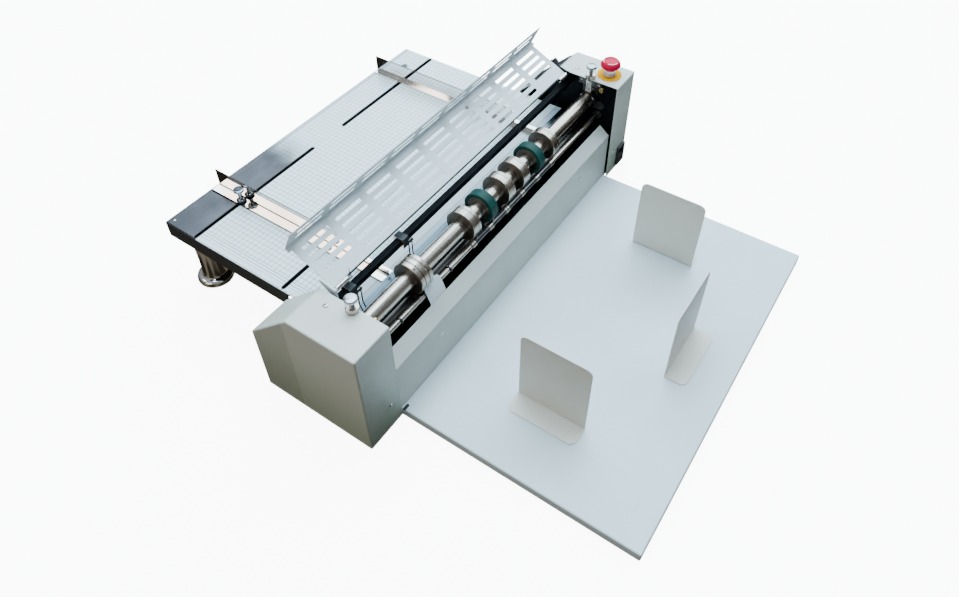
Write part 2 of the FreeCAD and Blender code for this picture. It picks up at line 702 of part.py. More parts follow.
# Front cover: one folded sheet, leaning back over its upper fold.
body = new_body()
profile = [
    ("head_y + cover_front", "foot_height + cover_low"),
    ("head_y + cover_front + cover_wall", "foot_height + cover_low"),
    ("head_y + cover_front + cover_wall", "foot_height + cover_bend_height - cover_wall / 2"),
    ("head_y + cover_top_depth - cover_wall", "foot_height + cover_top_height - 2 * cover_wall"),
    ("head_y + cover_top_depth - cover_wall", "foot_height + cover_top_height - cover_return"),
    ("head_y + cover_top_depth", "foot_height + cover_top_height - cover_return"),
    ("head_y + cover_top_depth", "foot_height + cover_top_height"),
    ("head_y + cover_front", "foot_height + cover_bend_height"),
]
pad(body, outline(body, "YZ_Plane", profile), "2 * cover_half")
name(body, "front_cover")

name(group(*[
    rod("tie_radius", "2 * plate_x", "-1 * plate_x", "head_y + tie_depth + " + step,
        "table_z - table_wall - tie_radius") for step in ("0", "tie_pitch")
]), "tie_bars")

# Feed table: a sheet folded down at the sides and at the rear, with four cross slots.
body = new_body()
top = rectangle("-1 * table_half", "table_z - table_skirt", "table_half", "table_z")
pad(body, outline(body, "XZ_Plane", top), "table_reach - table_front")


def is_table_bend(edge):
    centre = edge.CenterOfMass
    high = abs(centre.z - size("table_z")) < SAME
    rear = abs(centre.y - size("table_reach - table_front") / 2) < SAME
    side_edge = abs(abs(centre.x) - size("table_half")) < SAME
    return (high and (rear or side_edge)) or (rear and side_edge)


round_edges(body, "table_round", is_table_bend)
under = rectangle("-1 * table_half + table_wall", "table_z - table_skirt - overrun",
                  "table_half - table_wall", "table_z - table_wall")
sketch = outline(body, "XZ_Plane", under)
sketch.setExpression("AttachmentOffset.Base.z", ref("table_wall"))
pocket(body, sketch, "table_reach - table_front", both=True)
lead = [
    ("-1 * table_reach", "table_z - table_skirt - overrun"),
    ("skirt_front - table_front / 2 - table_reach / 2", "table_z - table_skirt - overrun"),
    ("skirt_front - table_front / 2 - table_reach / 2", "table_z - table_wall"),
    ("-1 * table_reach", "table_z - table_wall"),
]
pocket(body, outline(body, "YZ_Plane", lead), both=True)
table_middle = "head_y + table_reach / 2 + table_front / 2"
place(body, 0, table_middle)


def table_slots(depth):
    cuts = []
    for start in ("-1 * slot_outer", "slot_inner"):
        cuts.append(box("slot_outer - slot_inner", "slot_width", "table_wall + film_wall + 2 * overrun",
                        start, "head_y + " + depth + " - slot_width / 2", "table_z - table_wall - overrun"))
        for x in (start, start + " + slot_outer - slot_inner"):
            cuts.append(rod("slot_width / 2", "table_wall + film_wall + 2 * overrun", x,
                            "head_y + " + depth, "table_z - table_wall - overrun", "Z"))
    return cuts


name(cut(body, *table_slots("front_slot_depth"), *table_slots("rear_slot_depth")), "feed_table")
film = box("2 * table_half - 2 * table_round", "film_rear - table_front", "film_wall",
           "-1 * table_half + table_round", "head_y + table_front", "table_z")
name(cut(film, *table_slots("front_slot_depth")), "table_grid_sheet")

# Turned table legs with a wide foot.
legs = []
for side in ("-1", "1"):
    body = new_body()
    revolve(body, [
        ("0", "0"),
        ("leg_radius", "0"),
        ("leg_radius", "leg_lip", "leg_lip / 4"),
        ("leg_neck", "leg_flare", "leg_flare"),
        ("leg_neck", "table_z - table_wall - leg_flare"),
        ("leg_top", "table_z - table_wall"),
        ("0", "table_z - table_wall"),
    ])
    place(body, side + " * leg_half", "head_y + leg_depth")
    legs.append(body)
name(group(*legs), "table_legs")

body = new_body()
pad(body, outline(body, "YZ_Plane", [
    ("head_y + table_front", "table_z - ramp_wall"),
    ("head_y + table_front", "table_z"),
    ("head_y + ramp_tip", "table_z + ramp_rise"),
    ("head_y + ramp_tip", "table_z + ramp_rise - ramp_wall"),
]), "2 * ramp_half")
name(body, "infeed_guide_plate")

bar_y = "head_y + bar_depth"
bar_z = "foot_height + bar_height"
name(box("2 * plate_x", "bar_size", "bar_size", "-1 * plate_x", bar_y, bar_z), "crossbar")

# Upper bearing blocks in the side plates' slots, each with a flange and a steel column.
blocks = []
retainers = []
oilers = []
caps = []
for side in ("-1", "1"):
    inner = side + " * plate_x" + ("" if side == "1" else " - plate_wall")
    face = "-1 * plate_x" if side == "-1" else "plate_x - column_size + overrun"
    flange = "column_size - overrun"
    block = join(
        box("plate_wall", "block_width", "block_low + block_high", inner,
            "axis_y - block_width / 2", "upper_z - block_low"),
        rod("collar_radius", flange, face, "axis_y", "upper_z"),
        box(flange, "column_size", "foot_height + housing_height - upper_z - nut_wall / 2 - air", face,
            "axis_y - column_size / 2", "upper_z"),
    )
    bore = rod("journal_radius + running_gap", "2 * plate_wall + 2 * column_size",
               inner + " - column_size - overrun", "axis_y", "upper_z")
    blocks.append(cut(block, bore))
    thin = "-1 * plate_x" if side == "-1" else "plate_x - retainer_wall"
    high = "foot_height + housing_height - nut_wall / 2 - retainer_height"
    retainers.append(cut(
        box("retainer_wall", "retainer_width", "retainer_height", thin, "axis_y - retainer_width / 2", high),
        box("retainer_wall + 2 * overrun", "column_size + 2 * seat_gap", "retainer_height + 2 * overrun",
            thin + " - overrun", "axis_y - column_size / 2 - seat_gap", high + " - overrun")))
    stem = "-1 * plate_x" if side == "-1" else "plate_x - oiler_length"
    tip = "-1 * plate_x + oiler_length" if side == "-1" else "plate_x - oiler_length - oiler_head"
    oilers.append(join(
        rod("oiler_radius", "oiler_length", stem, "head_y + oiler_depth", "foot_height + oiler_height"),
        rod("oiler_tip", "oiler_head", tip, "head_y + oiler_depth", "foot_height + oiler_height")))
    disc = "-1 * plate_x" if side == "-1" else "plate_x - bush_wall"
    caps.append(tube("bush_radius", "delivery_radius + running_gap", "bush_wall", disc,
                     "delivery_y", "delivery_z"))
    caps.append(rod("bush_radius", "bush_wall", disc, "head_y + cap_depth", "foot_height + cap_height"))
name(group(*blocks, *retainers), "bearing_blocks")
name(group(*oilers), "oilers")
name(group(*caps), "plate_caps")

# Hinge brackets on the crossbar, each with a pin and a rest for the open cover.
brackets = []
for side in ("-1", "1"):
    body = new_body()
    pad(body, outline(body, "YZ_Plane", [
        ("hinge_y - bracket_half", "foot_height + bar_height + bar_size"),
        ("hinge_y + bracket_half", "foot_height + bar_height + bar_size"),
        ("hinge_y + bracket_half", "hinge_z - 2 * bracket_half"),
        ("hinge_y + rest_reach + rest_half", "hinge_z + rest_rise - rest_half"),
        ("hinge_y + rest_reach + rest_half", "hinge_z + rest_rise + rest_half"),
        ("hinge_y + rest_reach - rest_half", "hinge_z + rest_rise + rest_half"),
        ("hinge_y", "hinge_z + bracket_half"),
        ("hinge_y - bracket_half", "hinge_z + bracket_half"),
    ]), "bracket_wall")
    place(body, side + " * bracket_x + " + side + " * bracket_wall / 2")
    pin = "-1 * bracket_x - overrun" if side == "-1" else "knuckle_end - knuckle_length - overrun"
    rest = "-1 * bracket_x - overrun" if side == "-1" else "bracket_x - rest_length + overrun"
    brackets.append(join(
        body,
        rod("pin_radius", "bracket_x + 2 * overrun - knuckle_end + knuckle_length", pin, "hinge_y", "hinge_z"),
        rod("rest_radius", "rest_length", rest, "hinge_y + rest_reach", "hinge_z + rest_rise")))
name(group(*brackets), "hinge_brackets")

# Emergency stop on the right housing: disc, threaded collar and mushroom head.
stop = ("stop_x", "head_y + stop_depth", "foot_height + housing_height")
name(tube("stop_ring_radius", "stop_shank_radius + seat_gap", "stop_ring_wall", *stop, "Z"), "estop_ring")
deck = "foot_height + housing_height + stop_ring_wall"
collar = join(
    rod("stop_collar_radius", "stop_collar_height", stop[0], stop[1], deck, "Z"),
    rod("stop_shank_radius", "stop_shank_length", stop[0], stop[1], deck + " - stop_shank_length", "Z"))
well = rod("stop_stem_radius + running_gap", "stop_collar_height + stop_lift", stop[0], stop[1],
           deck + " - stop_lift", "Z")
name(cut(collar, well), "estop_collar")
body = new_body()
revolve(body, [
    ("0", "stop_ring_wall"),
    ("stop_stem_radius", "stop_ring_wall"),
    ("stop_stem_radius", "stop_lift"),
    ("stop_head_radius", "stop_lift"),
    ("stop_head_radius", "stop_lift + stop_head_height / 2", "stop_head_height / 4"),
    ("stop_head_radius / 2", "stop_lift + stop_head_height", "stop_head_radius / 2"),
    ("0", "stop_lift + stop_head_height"),
])
place(body, stop[0], stop[1], deck)
name(body, "estop_button")

# Power inlet in the right housing's front.
middle = "foot_height + inlet_height"
inlet = join(
    box("inlet_width", "inlet_proud", "inlet_tall", "inlet_x - inlet_width / 2",
        "head_y - inlet_proud", middle + " - inlet_tall / 2"),
    box("inlet_width - 2 * inlet_rim - 2 * seat_gap", "inlet_depth", "inlet_tall - 2 * inlet_rim - 2 * seat_gap",
        "inlet_x - inlet_width / 2 + inlet_rim + seat_gap", "head_y",
        middle + " - inlet_tall / 2 + inlet_rim + seat_gap"))
socket = box("socket_width", "socket_depth + overrun", "socket_tall", "inlet_x - socket_width / 2",
             "head_y - inlet_proud - overrun", middle + " + socket_lift - socket_tall / 2")
name(cut(inlet, socket), "power_inlet")


# Pieces of the control panel stand on the right housing's rear slope.
def lean(piece):
    piece.Placement = Placement(Vector(), Rotation(Vector(-1, 0, 0), size("slope_angle")))
    piece.setExpression("Placement.Rotation.Angle", ref("slope_angle"))
    place(piece, "inner_x + housing_width / 2", "head_y + flat_top_depth + slope_run / 2",
          "foot_height + rear_height + slope_fall / 2")
    return piece


panel = join(
    box("panel_width", "panel_length", "panel_wall", "-1 * panel_width / 2", "-1 * panel_length / 2", "seat_gap"),
    tube("bezel_radius", "button_radius + air", "bezel_height", "0", "button_offset", "panel_wall", "Z"))
name(lean(panel), "control_panel")
dial = join(
    rod("dial_radius", "dial_height", "0", "-1 * dial_offset", "panel_wall + seat_gap + air", "Z"),
    box("dial_radius / 4", "dial_radius", "dial_height / 8", "-1 * dial_radius / 8", "-1 * dial_offset",
        "panel_wall + seat_gap + air + dial_height"))
name(lean(dial), "speed_knob")
button = rod("button_radius", "button_height", "0", "button_offset", "panel_wall + button_travel + 2 * air", "Z")
name(lean(group(button)), "start_button")

# Delivery tray: a sheet folded down at both sides and in front.
body = new_body()
pad(body, outline(body, "XZ_Plane", rectangle("-1 * tray_half", "0", "tray_half", "tray_height")),
    "tray_reach + cover_front - seat_gap")


def is_tray_bend(edge):
    centre = edge.CenterOfMass
    high = abs(centre.z - size("tray_height")) < SAME
    front = abs(centre.y + size("tray_reach + cover_front - seat_gap") / 2) < SAME
    side_edge = abs(abs(centre.x) - size("tray_half")) < SAME
    return (high and (front or side_edge)) or (front and side_edge)


round_edges(body, "tray_round", is_tray_bend)
sketch = outline(body, "XZ_Plane", rectangle(
    "-1 * tray_half + tray_wall", "-1 * overrun", "tray_half - tray_wall", "tray_height - tray_wall"))
sketch.setExpression("AttachmentOffset.Base.z", ref("-1 * tray_wall"))
pocket(body, sketch, "tray_reach + cover_front - seat_gap", both=True)
place(body, 0, "head_y - tray_reach / 2 + cover_front / 2 - seat_gap / 2")
name(body, "delivery_tray")

# Tray stops: folded sheets with rounded corners that stand on the tray.
def bookend(label, x, y, turn):
    body = new_body()
    profile = [
        ("0", "0", "bookend_bend"),
        ("0", "bookend_height"),
        ("-1 * bookend_wall", "bookend_height"),
        ("-1 * bookend_wall", "bookend_wall"),
        ("-1 * bookend_foot", "bookend_wall"),
        ("-1 * bookend_foot", "0"),
    ]
    pad(body, outline(body, "XZ_Plane", profile), "bookend_width")
    wall = size("bookend_wall")

    def is_corner(edge):
        return abs(edge.Length - wall) < SAME and (
            edge.CenterOfMass.z > size("bookend_height") - 1 or edge.CenterOfMass.x < 1 - size("bookend_foot"))

    round_edges(body, "bookend_round", is_corner)
    body.Placement = Placement(Vector(), Rotation(Vector(0, 0, 1), turn))
    place(body, x, y, "tray_height + air")
    return name(body, label)


side_y = "head_y - side_bookend_front + bookend_width / 2"
bookend("side_stop_left", "left_bookend", side_y, 0)
bookend("side_stop_right", "right_bookend", side_y, 180)
bookend("end_stop", "end_bookend_left + bookend_width / 2", "head_y - end_bookend_reach", 90)


# Side guides: an upright with a foot, low where it passes under the crossbar.
def side_guide(label, knob_label, side, x):
    body = new_body()
    profile = [
        ("-1 * guide_foot", "0"),
        ("guide_lip", "0"),
        ("guide_lip", "guide_wall"),
        ("0", "guide_wall"),
        ("0", "guide_height"),
        ("-1 * guide_wall", "guide_height"),
        ("-1 * guide_wall", "guide_wall"),
        ("-1 * guide_foot", "guide_wall"),
    ]
    if side == "1":
        profile = [(words[0].replace("-1 * ", "") if words[0].startswith("-") else "-1 * " + words[0], words[1])
                   for words in profile]
    pad(body, outline(body, "XZ_Plane", profile), "guide_rear - guide_front")
    half = "guide_rear / 2 - guide_front / 2"
    lead = [
        ("-1 * guide_rear", "guide_low"),
        ("guide_low_depth - guide_rear / 2 - guide_front / 2", "guide_low"),
        ("guide_low_depth - guide_rear / 2 - guide_front / 2 + guide_low", "guide_height + overrun"),
        ("-1 * guide_rear", "guide_height + overrun"),
    ]
    pocket(body, outline(body, "YZ_Plane", lead), both=True)
    level = "table_z + film_wall + air"
    place(body, x, "head_y + guide_rear / 2 + guide_front / 2", level)
    bolt_x = x + (" - knob_offset" if side == "-1" else " + knob_offset")
    rear = "head_y + rear_slot_depth"
    front = "head_y + front_slot_depth"
    bolt = "table_z - table_wall - guide_low"
    sheet_piece = cut(body, rod("guide_post_radius + running_gap", "guide_low", bolt_x, rear, level + " - overrun", "Z"))
    whole = join(
        sheet_piece,
        rod("guide_post_radius", "guide_low + table_wall + film_wall + air", bolt_x, front, bolt, "Z"),
        rod("guide_nut_radius", "guide_low - 2 * air", bolt_x, front, bolt, "Z"),
        rod("guide_nut_radius", "guide_wall + guide_low / 4", bolt_x, front, level, "Z"))
    name(whole, label)
    reach = "guide_knob_height + table_wall + guide_low"
    knob = join(
        rod("guide_post_radius", reach, bolt_x, rear, bolt, "Z"),
        rod("guide_nut_radius", "guide_low - 2 * air", bolt_x, rear, bolt, "Z"),
        rod("guide_nut_radius", "guide_knob_wall", bolt_x, rear, level + " + guide_wall + air", "Z"),
        rod("guide_knob_radius", "guide_knob_wall", bolt_x, rear,
            "table_z + guide_knob_height - guide_knob_wall", "Z"))
    name(knob, knob_label)


side_guide("side_guide_left", "guide_knob_left", "-1", "left_guide")
side_guide("side_guide_right", "guide_knob_right", "1", "right_guide")


# Clamps on the crossbar, each with two wire fingers over the infeed plate.
def bar_clamp(label, x):
    outer = box("clamp_width", "bar_size + 2 * clamp_wall + 2 * air", "bar_size + 2 * clamp_wall + 2 * air",
                x + " - clamp_width / 2", bar_y + " - clamp_wall - air", bar_z + " - clamp_wall - air")
    inner = box("clamp_width + 2 * overrun", "bar_size + 2 * air", "bar_size + 2 * air",
                x + " - clamp_width / 2 - overrun", bar_y + " - air", bar_z + " - air")
    pieces = [cut(outer, inner)]
    wire_y = bar_y + " - clamp_wall - air"
    knee = "foot_height + bar_height - wire_drop"
    for step in ("wire_radius", "wire_radius + wire_pitch"):
        at = x + " + clamp_width / 2 - overrun + " + step
        pieces.append(rod("wire_radius", "wire_drop + clamp_wall", at, wire_y, knee, "Z"))
        foot = doc.addObject("Part::Cylinder", hide("rod"))
        angle = math.degrees(math.atan2(size("wire_reach"), size("wire_foot")))
        foot.Placement = Placement(Vector(), Rotation(Vector(1, 0, 0), 180 - angle))
        foot.setExpression("Radius", ref("wire_radius"))
        foot.Height = math.hypot(size("wire_reach"), size("wire_foot"))
        place(foot, at, wire_y, knee)
        ball = doc.addObject("Part::Sphere", hide("ball"))
        ball.setExpression("Radius", ref("wire_radius"))
        place(ball, at, wire_y, knee)
        pieces.extend([foot, ball])
    pieces.append(box("clamp_width / 2 + wire_pitch + 2 * wire_radius", "2 * wire_radius", "clamp_wall",
                      x, wire_y + " - wire_radius", bar_z + " - clamp_wall / 2"))
    name(join(*pieces), label)


bar_clamp("bar_clamp_left", "left_clamp")
bar_clamp("bar_clamp_right", "right_clamp")

# Safety cover in its own frame: the hinge is on X, the panel lies along Y.
body = new_body()
profile = [
    ("knuckle_radius", "-1 * guard_wall / 2"),
    ("guard_length", "-1 * guard_wall / 2", "tray_round"),
    ("guard_length", "guard_lip"),
    ("guard_length - guard_wall", "guard_lip"),
    ("guard_length - guard_wall", "guard_wall / 2"),
    ("knuckle_radius", "guard_wall / 2"),
]
pad(body, outline(body, "YZ_Plane", profile), "2 * guard_half")
wide = "guard_half + overrun"
narrow = "guard_half - guard_side_cut"
pocket(body, outline(
    body, "XY_Plane",
    rectangle(narrow, "0", wide, "guard_step"),
    rectangle("-1 * guard_half - overrun", "0", "-1 * guard_half + guard_side_cut", "guard_step")), both=True)
column = "-4 * guard_slot_pitch"
rows = ["guard_first_row + %d * guard_row_pitch" % step for step in (1, 2, 3, 4)]
loops = [rectangle(column + " - guard_slot / 2", row + " - guard_slot_width / 2",
                   column + " + guard_slot / 2", row + " + guard_slot_width / 2") for row in rows]
copies(body, pocket(body, outline(body, "XY_Plane", *loops), both=True), "X_Axis", "guard_slot_pitch", 9)
first = rectangle("-3 * guard_slot_pitch - guard_slot / 2", "guard_first_row - guard_slot_width / 2",
                  "-3 * guard_slot_pitch + guard_slot / 2", "guard_first_row + guard_slot_width / 2")
copies(body, pocket(body, outline(body, "XY_Plane", first), both=True), "X_Axis", "guard_slot_pitch", 7)
loops = [rectangle(column + " - guard_slot / 2", row + " - guard_slot_width / 2",
                   column + " + guard_slot / 2", row + " + guard_slot_width / 2")
         for row in ("guard_lip_row", "guard_lip_row + guard_row_pitch")]
copies(body, pocket(body, outline(body, "XZ_Plane", *loops), both=True), "X_Axis", "guard_slot_pitch", 9)
body.Placement = Placement(Vector(), Rotation(Vector(1, 0, 0), size("open_angle")))
body.setExpression("Placement.Rotation.Angle", ref("open_angle"))
place(body, 0, "hinge_y", "hinge_z")
name(body, "safety_cover")
knuckles = []
for start in ("knuckle_end - knuckle_length", "-1 * knuckle_end"):
    knuckles.append(tube("knuckle_radius", "pin_radius + running_gap", "knuckle_length", start, "hinge_y", "hinge_z"))
name(group(*knuckles), "cover_knuckles")

# Pressure screws over the bearing columns, with a lock nut on each housing.
for side, word in (("-1", "left"), ("1", "right")):
    x = side + " * screw_x"
    top = "foot_height + housing_height"
    low = "foot_height + housing_height - nut_wall / 2"
    name(join(
        rod("screw_radius", "nut_wall / 2 + screw_top", x, "axis_y", low, "Z"),
        rod("screw_head_radius", "screw_head_wall", x, "axis_y", top + " + screw_top - screw_head_wall", "Z")),
        "pressure_screw_" + word)
    name(tube("nut_radius", "screw_radius + running_gap", "nut_wall", x, "axis_y", top + " + air", "Z"),
         "lock_nut_" + word)

# Upper shaft with its rings, turned about X.
turn_x = Rotation(Vector(0, 1, 0), 90)


def turned(x, y, z, points):
    """Turned piece on a shaft: points are radius and distance along the shaft."""
    body = new_body()
    revolve(body, points)
    body.Placement = Placement(Vector(), turn_x)
    place(body, x, y, z)
    return body


def shaft(thick, thin, y, z, label):
    name(turned("0", y, z, [
        ("0", "-1 * drive_end"),
        (thin, "-1 * drive_end"),
        (thin, "-1 * shaft_end"),
        (thick, "-1 * shaft_end"),
        (thick, "shaft_end"),
        (thin, "shaft_end"),
        (thin, "plate_far_x"),
        ("0", "plate_far_x"),
    ]), label)


def ring(x, y, z, bore, radius, width, *grooves):
    """Ring on a shaft; each groove is its place from the middle, half its width and its floor's radius."""
    points = [(bore, "-1 * " + width + " / 2"), (radius, "-1 * " + width + " / 2")]
    for middle, half, floor in grooves:
        points.append((radius, middle + " - " + half))
        points.append((floor, middle + " - " + half))
        points.append((floor, middle + " + " + half))
        points.append((radius, middle + " + " + half))
    points.append((radius, width + " / 2"))
    points.append((bore, width + " / 2"))
    return turned(x, y, z, points)


upper = ("axis_y", "upper_z")
lower = ("axis_y", "lower_z")
hub = "shaft_radius + fit_gap"
shaft("shaft_radius", "journal_radius", *upper, "upper_shaft")
name(ring("wheel_x", *upper, hub, "ring_radius", "wheel_length",
          ("-1 * holder_line", "fine_groove", "ring_radius - groove_depth"),
          ("blade_shift", "blade_slot_half", "blade_slot")), "perforating_holder")
name(tube("blade_radius", "blade_slot + air", "blade_wall", "wheel_x + blade_shift - blade_wall / 2", *upper),
     "perforating_blade")
name(group(*[
    ring(first_or_last + "_collar_x", *upper, hub, "collar_ring_radius", first_or_last + "_collar_length",
         ("ring_line", "fine_groove", "collar_ring_radius - groove_depth"))
    for first_or_last in ("first", "last")]), "stop_collars")
name(group(*[
    tube("tyre_core", hub, "tyre_length", x + " - tyre_length / 2", *upper)
    for x in ("left_tyre_x", "right_tyre_x")
]), "drive_hubs")
for word in ("left", "right"):
    x = word + "_tyre_x"
    name(tube("ring_radius", "tyre_core + fit_gap", "tyre_length", x + " - tyre_length / 2", *upper),
         "drive_ring_" + word)
    name(ring(word + "_crease_x", *upper, hub, "ring_radius", "crease_length",
              ("ring_line", "groove", "ring_radius - groove_depth")), "creasing_ring_" + word)

# Lower shaft with its rings.
shaft("lower_radius", "lower_journal", *lower, "lower_shaft")
low_rings = []
for x, width, line in (
    ("wheel_x", "wheel_length", "blade_shift"),
    ("left_tyre_x", "tyre_length", "ring_line"),
    ("left_crease_x", "crease_length", "ring_line"),
    ("right_crease_x", "crease_length", "ring_line"),
    ("right_tyre_x", "tyre_length", "ring_line"),
):
    low_rings.append(ring(x, *lower, "lower_radius + fit_gap", "lower_ring_radius", width,
                          (line, "groove", "lower_ring_radius - groove_depth")))
name(group(*low_rings), "lower_rings")


# Spur gears: straight-flanked gaps cut into a disc.
def gear(teeth, bore, z, turn):
    pitch_radius = "gear_module * " + teeth + " / 2"
    body = new_body()
    crown = pitch_radius + " + gear_module * addendum_share"
    disc = [("0", "gear_width / -2"), (crown, "gear_width / -2"), (crown, "gear_width / 2"), ("0", "gear_width / 2")]
    sketch = outline(body, "XZ_Plane", [(along, radius) for radius, along in disc])
    feature = body.newObject("PartDesign::Revolution", hide("turned"))
    feature.Profile = sketch
    feature.ReferenceAxis = (origin(body, "X_Axis"), [""])
    feature.Angle = 360
    body.Tip = feature
    doc.recompute()
    half_gap = size("gear_module") * math.pi * (1 - size("tooth_share")) / 2
    low = size("gear_module * dedendum_share")
    high = size("gear_module * addendum_share") + size("gear_module") / 2
    lean_share = size("flank_share")
    radius = size(pitch_radius)
    import Sketcher
    sketch = body.newObject("Sketcher::SketchObject", hide("outline"))
    sketch.AttachmentSupport = [(origin(body, "YZ_Plane"), "")]
    sketch.MapMode = "FlatFace"
    corners = [
        Vector(-half_gap + low * lean_share, radius - low, 0),
        Vector(half_gap - low * lean_share, radius - low, 0),
        Vector(half_gap + high * lean_share, radius + high, 0),
        Vector(-half_gap - high * lean_share, radius + high, 0),
    ]
    for n in range(4):
        sketch.addGeometry(Part.LineSegment(corners[n], corners[(n + 1) % 4]), False)
    for n in range(4):
        sketch.addConstraint(Sketcher.Constraint("Coincident", n, 2, (n + 1) % 4, 1))
        sketch.addConstraint(Sketcher.Constraint("DistanceX", -1, 1, n, 1, corners[n].x))
        sketch.addConstraint(Sketcher.Constraint("DistanceY", -1, 1, n, 1, corners[n].y))
    doc.recompute()
    gap = pocket(body, sketch, both=True)
    pattern = body.newObject("PartDesign::PolarPattern", hide("teeth"))
    pattern.Originals = [gap]
    pattern.Axis = (origin(body, "X_Axis"), [""])
    pattern.Angle = 360
    pattern.setExpression("Occurrences", "Dimensions." + teeth)
    body.Tip = pattern
    doc.recompute()
    body.Placement = Placement(Vector(), Rotation(Vector(1, 0, 0), turn))
    place(body, "gear_x", "axis_y", z)
    reach = "gear_width + 2 * overrun"
    return cut(body, rod(bore + " + fit_gap", reach, "gear_x - gear_width / 2 - overrun", "axis_y", z))


name(gear("upper_teeth", "journal_radius", "upper_z", 0), "upper_gear")
lower_gear = gear("lower_teeth", "lower_journal", "lower_z", 180 / size("lower_teeth"))


def pulley(radius, width, bore, x, y, z):
    """Flat belt pulley with a low rim on both sides."""
    return turned(x, y, z, [
        (bore, "-1 * " + width + " / 2"),
        (radius, "-1 * " + width + " / 2"),
        (radius, width + " / 2"),
        (bore, width + " / 2"),
    ])


name(group(
    lower_gear,
    pulley("delivery_drive", "small_wall", "lower_journal + fit_gap", "small_x", *lower),
    pulley("drive_pulley", "pulley_wall", "lower_journal + fit_gap", "pulley_x", *lower)), "lower_drive_wheels")
motor = ("head_y + motor_depth", "foot_height + motor_height")
motor_body = rod("motor_radius", "motor_length", "-1 * plate_x", *motor)
name(cut(motor_body, rod("motor_shaft + running_gap", "pulley_wall + overrun", "-1 * plate_x - overrun", *motor)),
     "drive_motor")
name(join(
    rod("motor_shaft", "-1 * pulley_x - plate_x + pulley_wall / 2 + pulley_wall - overrun",
        "pulley_x - pulley_wall / 2", *motor),
    rod("motor_pulley", "pulley_wall", "pulley_x - pulley_wall / 2", *motor)), "motor_pulley")

# Delivery shaft with dark sleeves, steel bands and two clips.
delivery = ("delivery_y", "delivery_z")
name(rod("delivery_radius", "small_wall / 2 - small_x + plate_far_x", "small_x - small_wall / 2", *delivery),
     "delivery_shaft")
bore = "delivery_radius + fit_gap"
sleeves = []
bands = []
for number in range(6):
    at = "first_roller + %d * roller_pitch" % number
    bands.append(tube("band_radius", bore, "band_width", at + " - band_width / 2", *delivery))
    if number < 5:
        sleeves.append(tube("roller_radius", bore, "roller_pitch - band_width", at + " + band_width / 2", *delivery))
for at in ("left_clip", "right_clip"):
    sleeves.append(tube("band_radius", bore, "clip_width", at + " - clip_width / 2", *delivery))
bands.append(pulley("delivery_pulley", "small_wall", bore, "small_x", *delivery))
name(group(*sleeves), "delivery_rollers")
name(group(*bands), "delivery_bands")


def belt_face(first, second, grow):
    """Face of a belt's outline round two pulleys, in the YZ plane."""
    (y1, z1, r1), (y2, z2, r2) = first, second
    r1, r2 = r1 + grow, r2 + grow
    span = math.hypot(y2 - y1, z2 - z1)
    base = math.atan2(z2 - z1, y2 - y1)
    swing = math.acos((r1 - r2) / span)

    def at(y, z, r, angle):
        return Vector(0, y + r * math.cos(angle), z + r * math.sin(angle))

    up, down = base + swing, base - swing
    a, b = at(y1, z1, r1, up), at(y2, z2, r2, up)
    c, d = at(y2, z2, r2, down), at(y1, z1, r1, down)
    far = at(y2, z2, r2, base)
    near = at(y1, z1, r1, base + math.pi)
    edges = [
        Part.makeLine(a, b),
        Part.Arc(b, far, c).toShape(),
        Part.makeLine(c, d),
        Part.Arc(d, near, a).toShape(),
    ]
    return Part.Face(Part.Wire(edges))


def belt(first, second, x, width):
    wall = size("belt_wall")
    gap = size("air")
    ribbon = belt_face(first, second, gap + wall).cut(belt_face(first, second, gap))
    solid = ribbon.extrude(Vector(size(width), 0, 0))
    solid.translate(Vector(size(x) - size(width) / 2, 0, 0))
    return solid


low_point = (size("axis_y"), size("lower_z"))
drive_belt = belt((size(motor[0]), size(motor[1]), size("motor_pulley")),
                  low_point + (size("drive_pulley"),), "pulley_x", "pulley_wall - overrun")
small_belt = belt(low_point + (size("delivery_drive"),),
                  (size("delivery_y"), size("delivery_z"), size("delivery_pulley")), "small_x", "small_wall - overrun")
belts = doc.addObject("Part::Feature", "belts")
belts.Shape = Part.makeCompound([drive_belt, small_belt])
belts.Placement = Placement()
name(belts, "drive_belts")

# Screw heads on the sheets.
heads = []
for side in ("-1", "1"):
    heads.append(rod("bolt_radius", "bolt_head", side + " * tab_x", "head_y + cover_front - bolt_head",
                     "foot_height + cover_screw_height", "Y"))
    heads.append(rod("bolt_radius", "bolt_head", side + " * front_screw_x", "head_y - bolt_head",
                     "foot_height + front_screw_height", "Y"))
    heads.append(rod("bolt_radius", "bolt_head", side + " * top_screw_x", "head_y + top_screw_depth",
                     "foot_height + housing_height", "Z"))
    heads.append(rod("bolt_radius", "bolt_head", side + " * table_half - " + side + " * screw_margin",
                     "head_y + table_reach - screw_margin", "table_z", "Z"))
name(group(*heads), "cover_screws")

doc.recompute()
for item in doc.Objects:
    if "Invalid" in item.State or "Error" in item.State:
        raise RuntimeError("failed object: " + item.Label)
labels = [piece.Label for piece in subparts]
if len(set(labels)) != len(labels):
    raise RuntimeError("two sub-parts share a name")
for piece in subparts:
    if piece.Shape.isNull() or not piece.Shape.isValid() or not piece.Shape.Solids:
        raise RuntimeError("bad shape: " + piece.Label)
os.makedirs("parts", exist_ok=True)
for piece in subparts:
    piece.Shape.exportStep("parts/" + piece.Label + ".step")
    box_now = piece.Shape.BoundBox
    print("%-22s %2d %8d  %7.1f %7.1f  %7.1f %7.1f  %6.1f %6.1f" % (
        piece.Label, len(piece.Shape.Solids), piece.Shape.Volume, box_now.XMin, box_now.XMax,
        box_now.YMin, box_now.YMax, box_now.ZMin, box_now.ZMax))
print(len(subparts), "sub-parts")
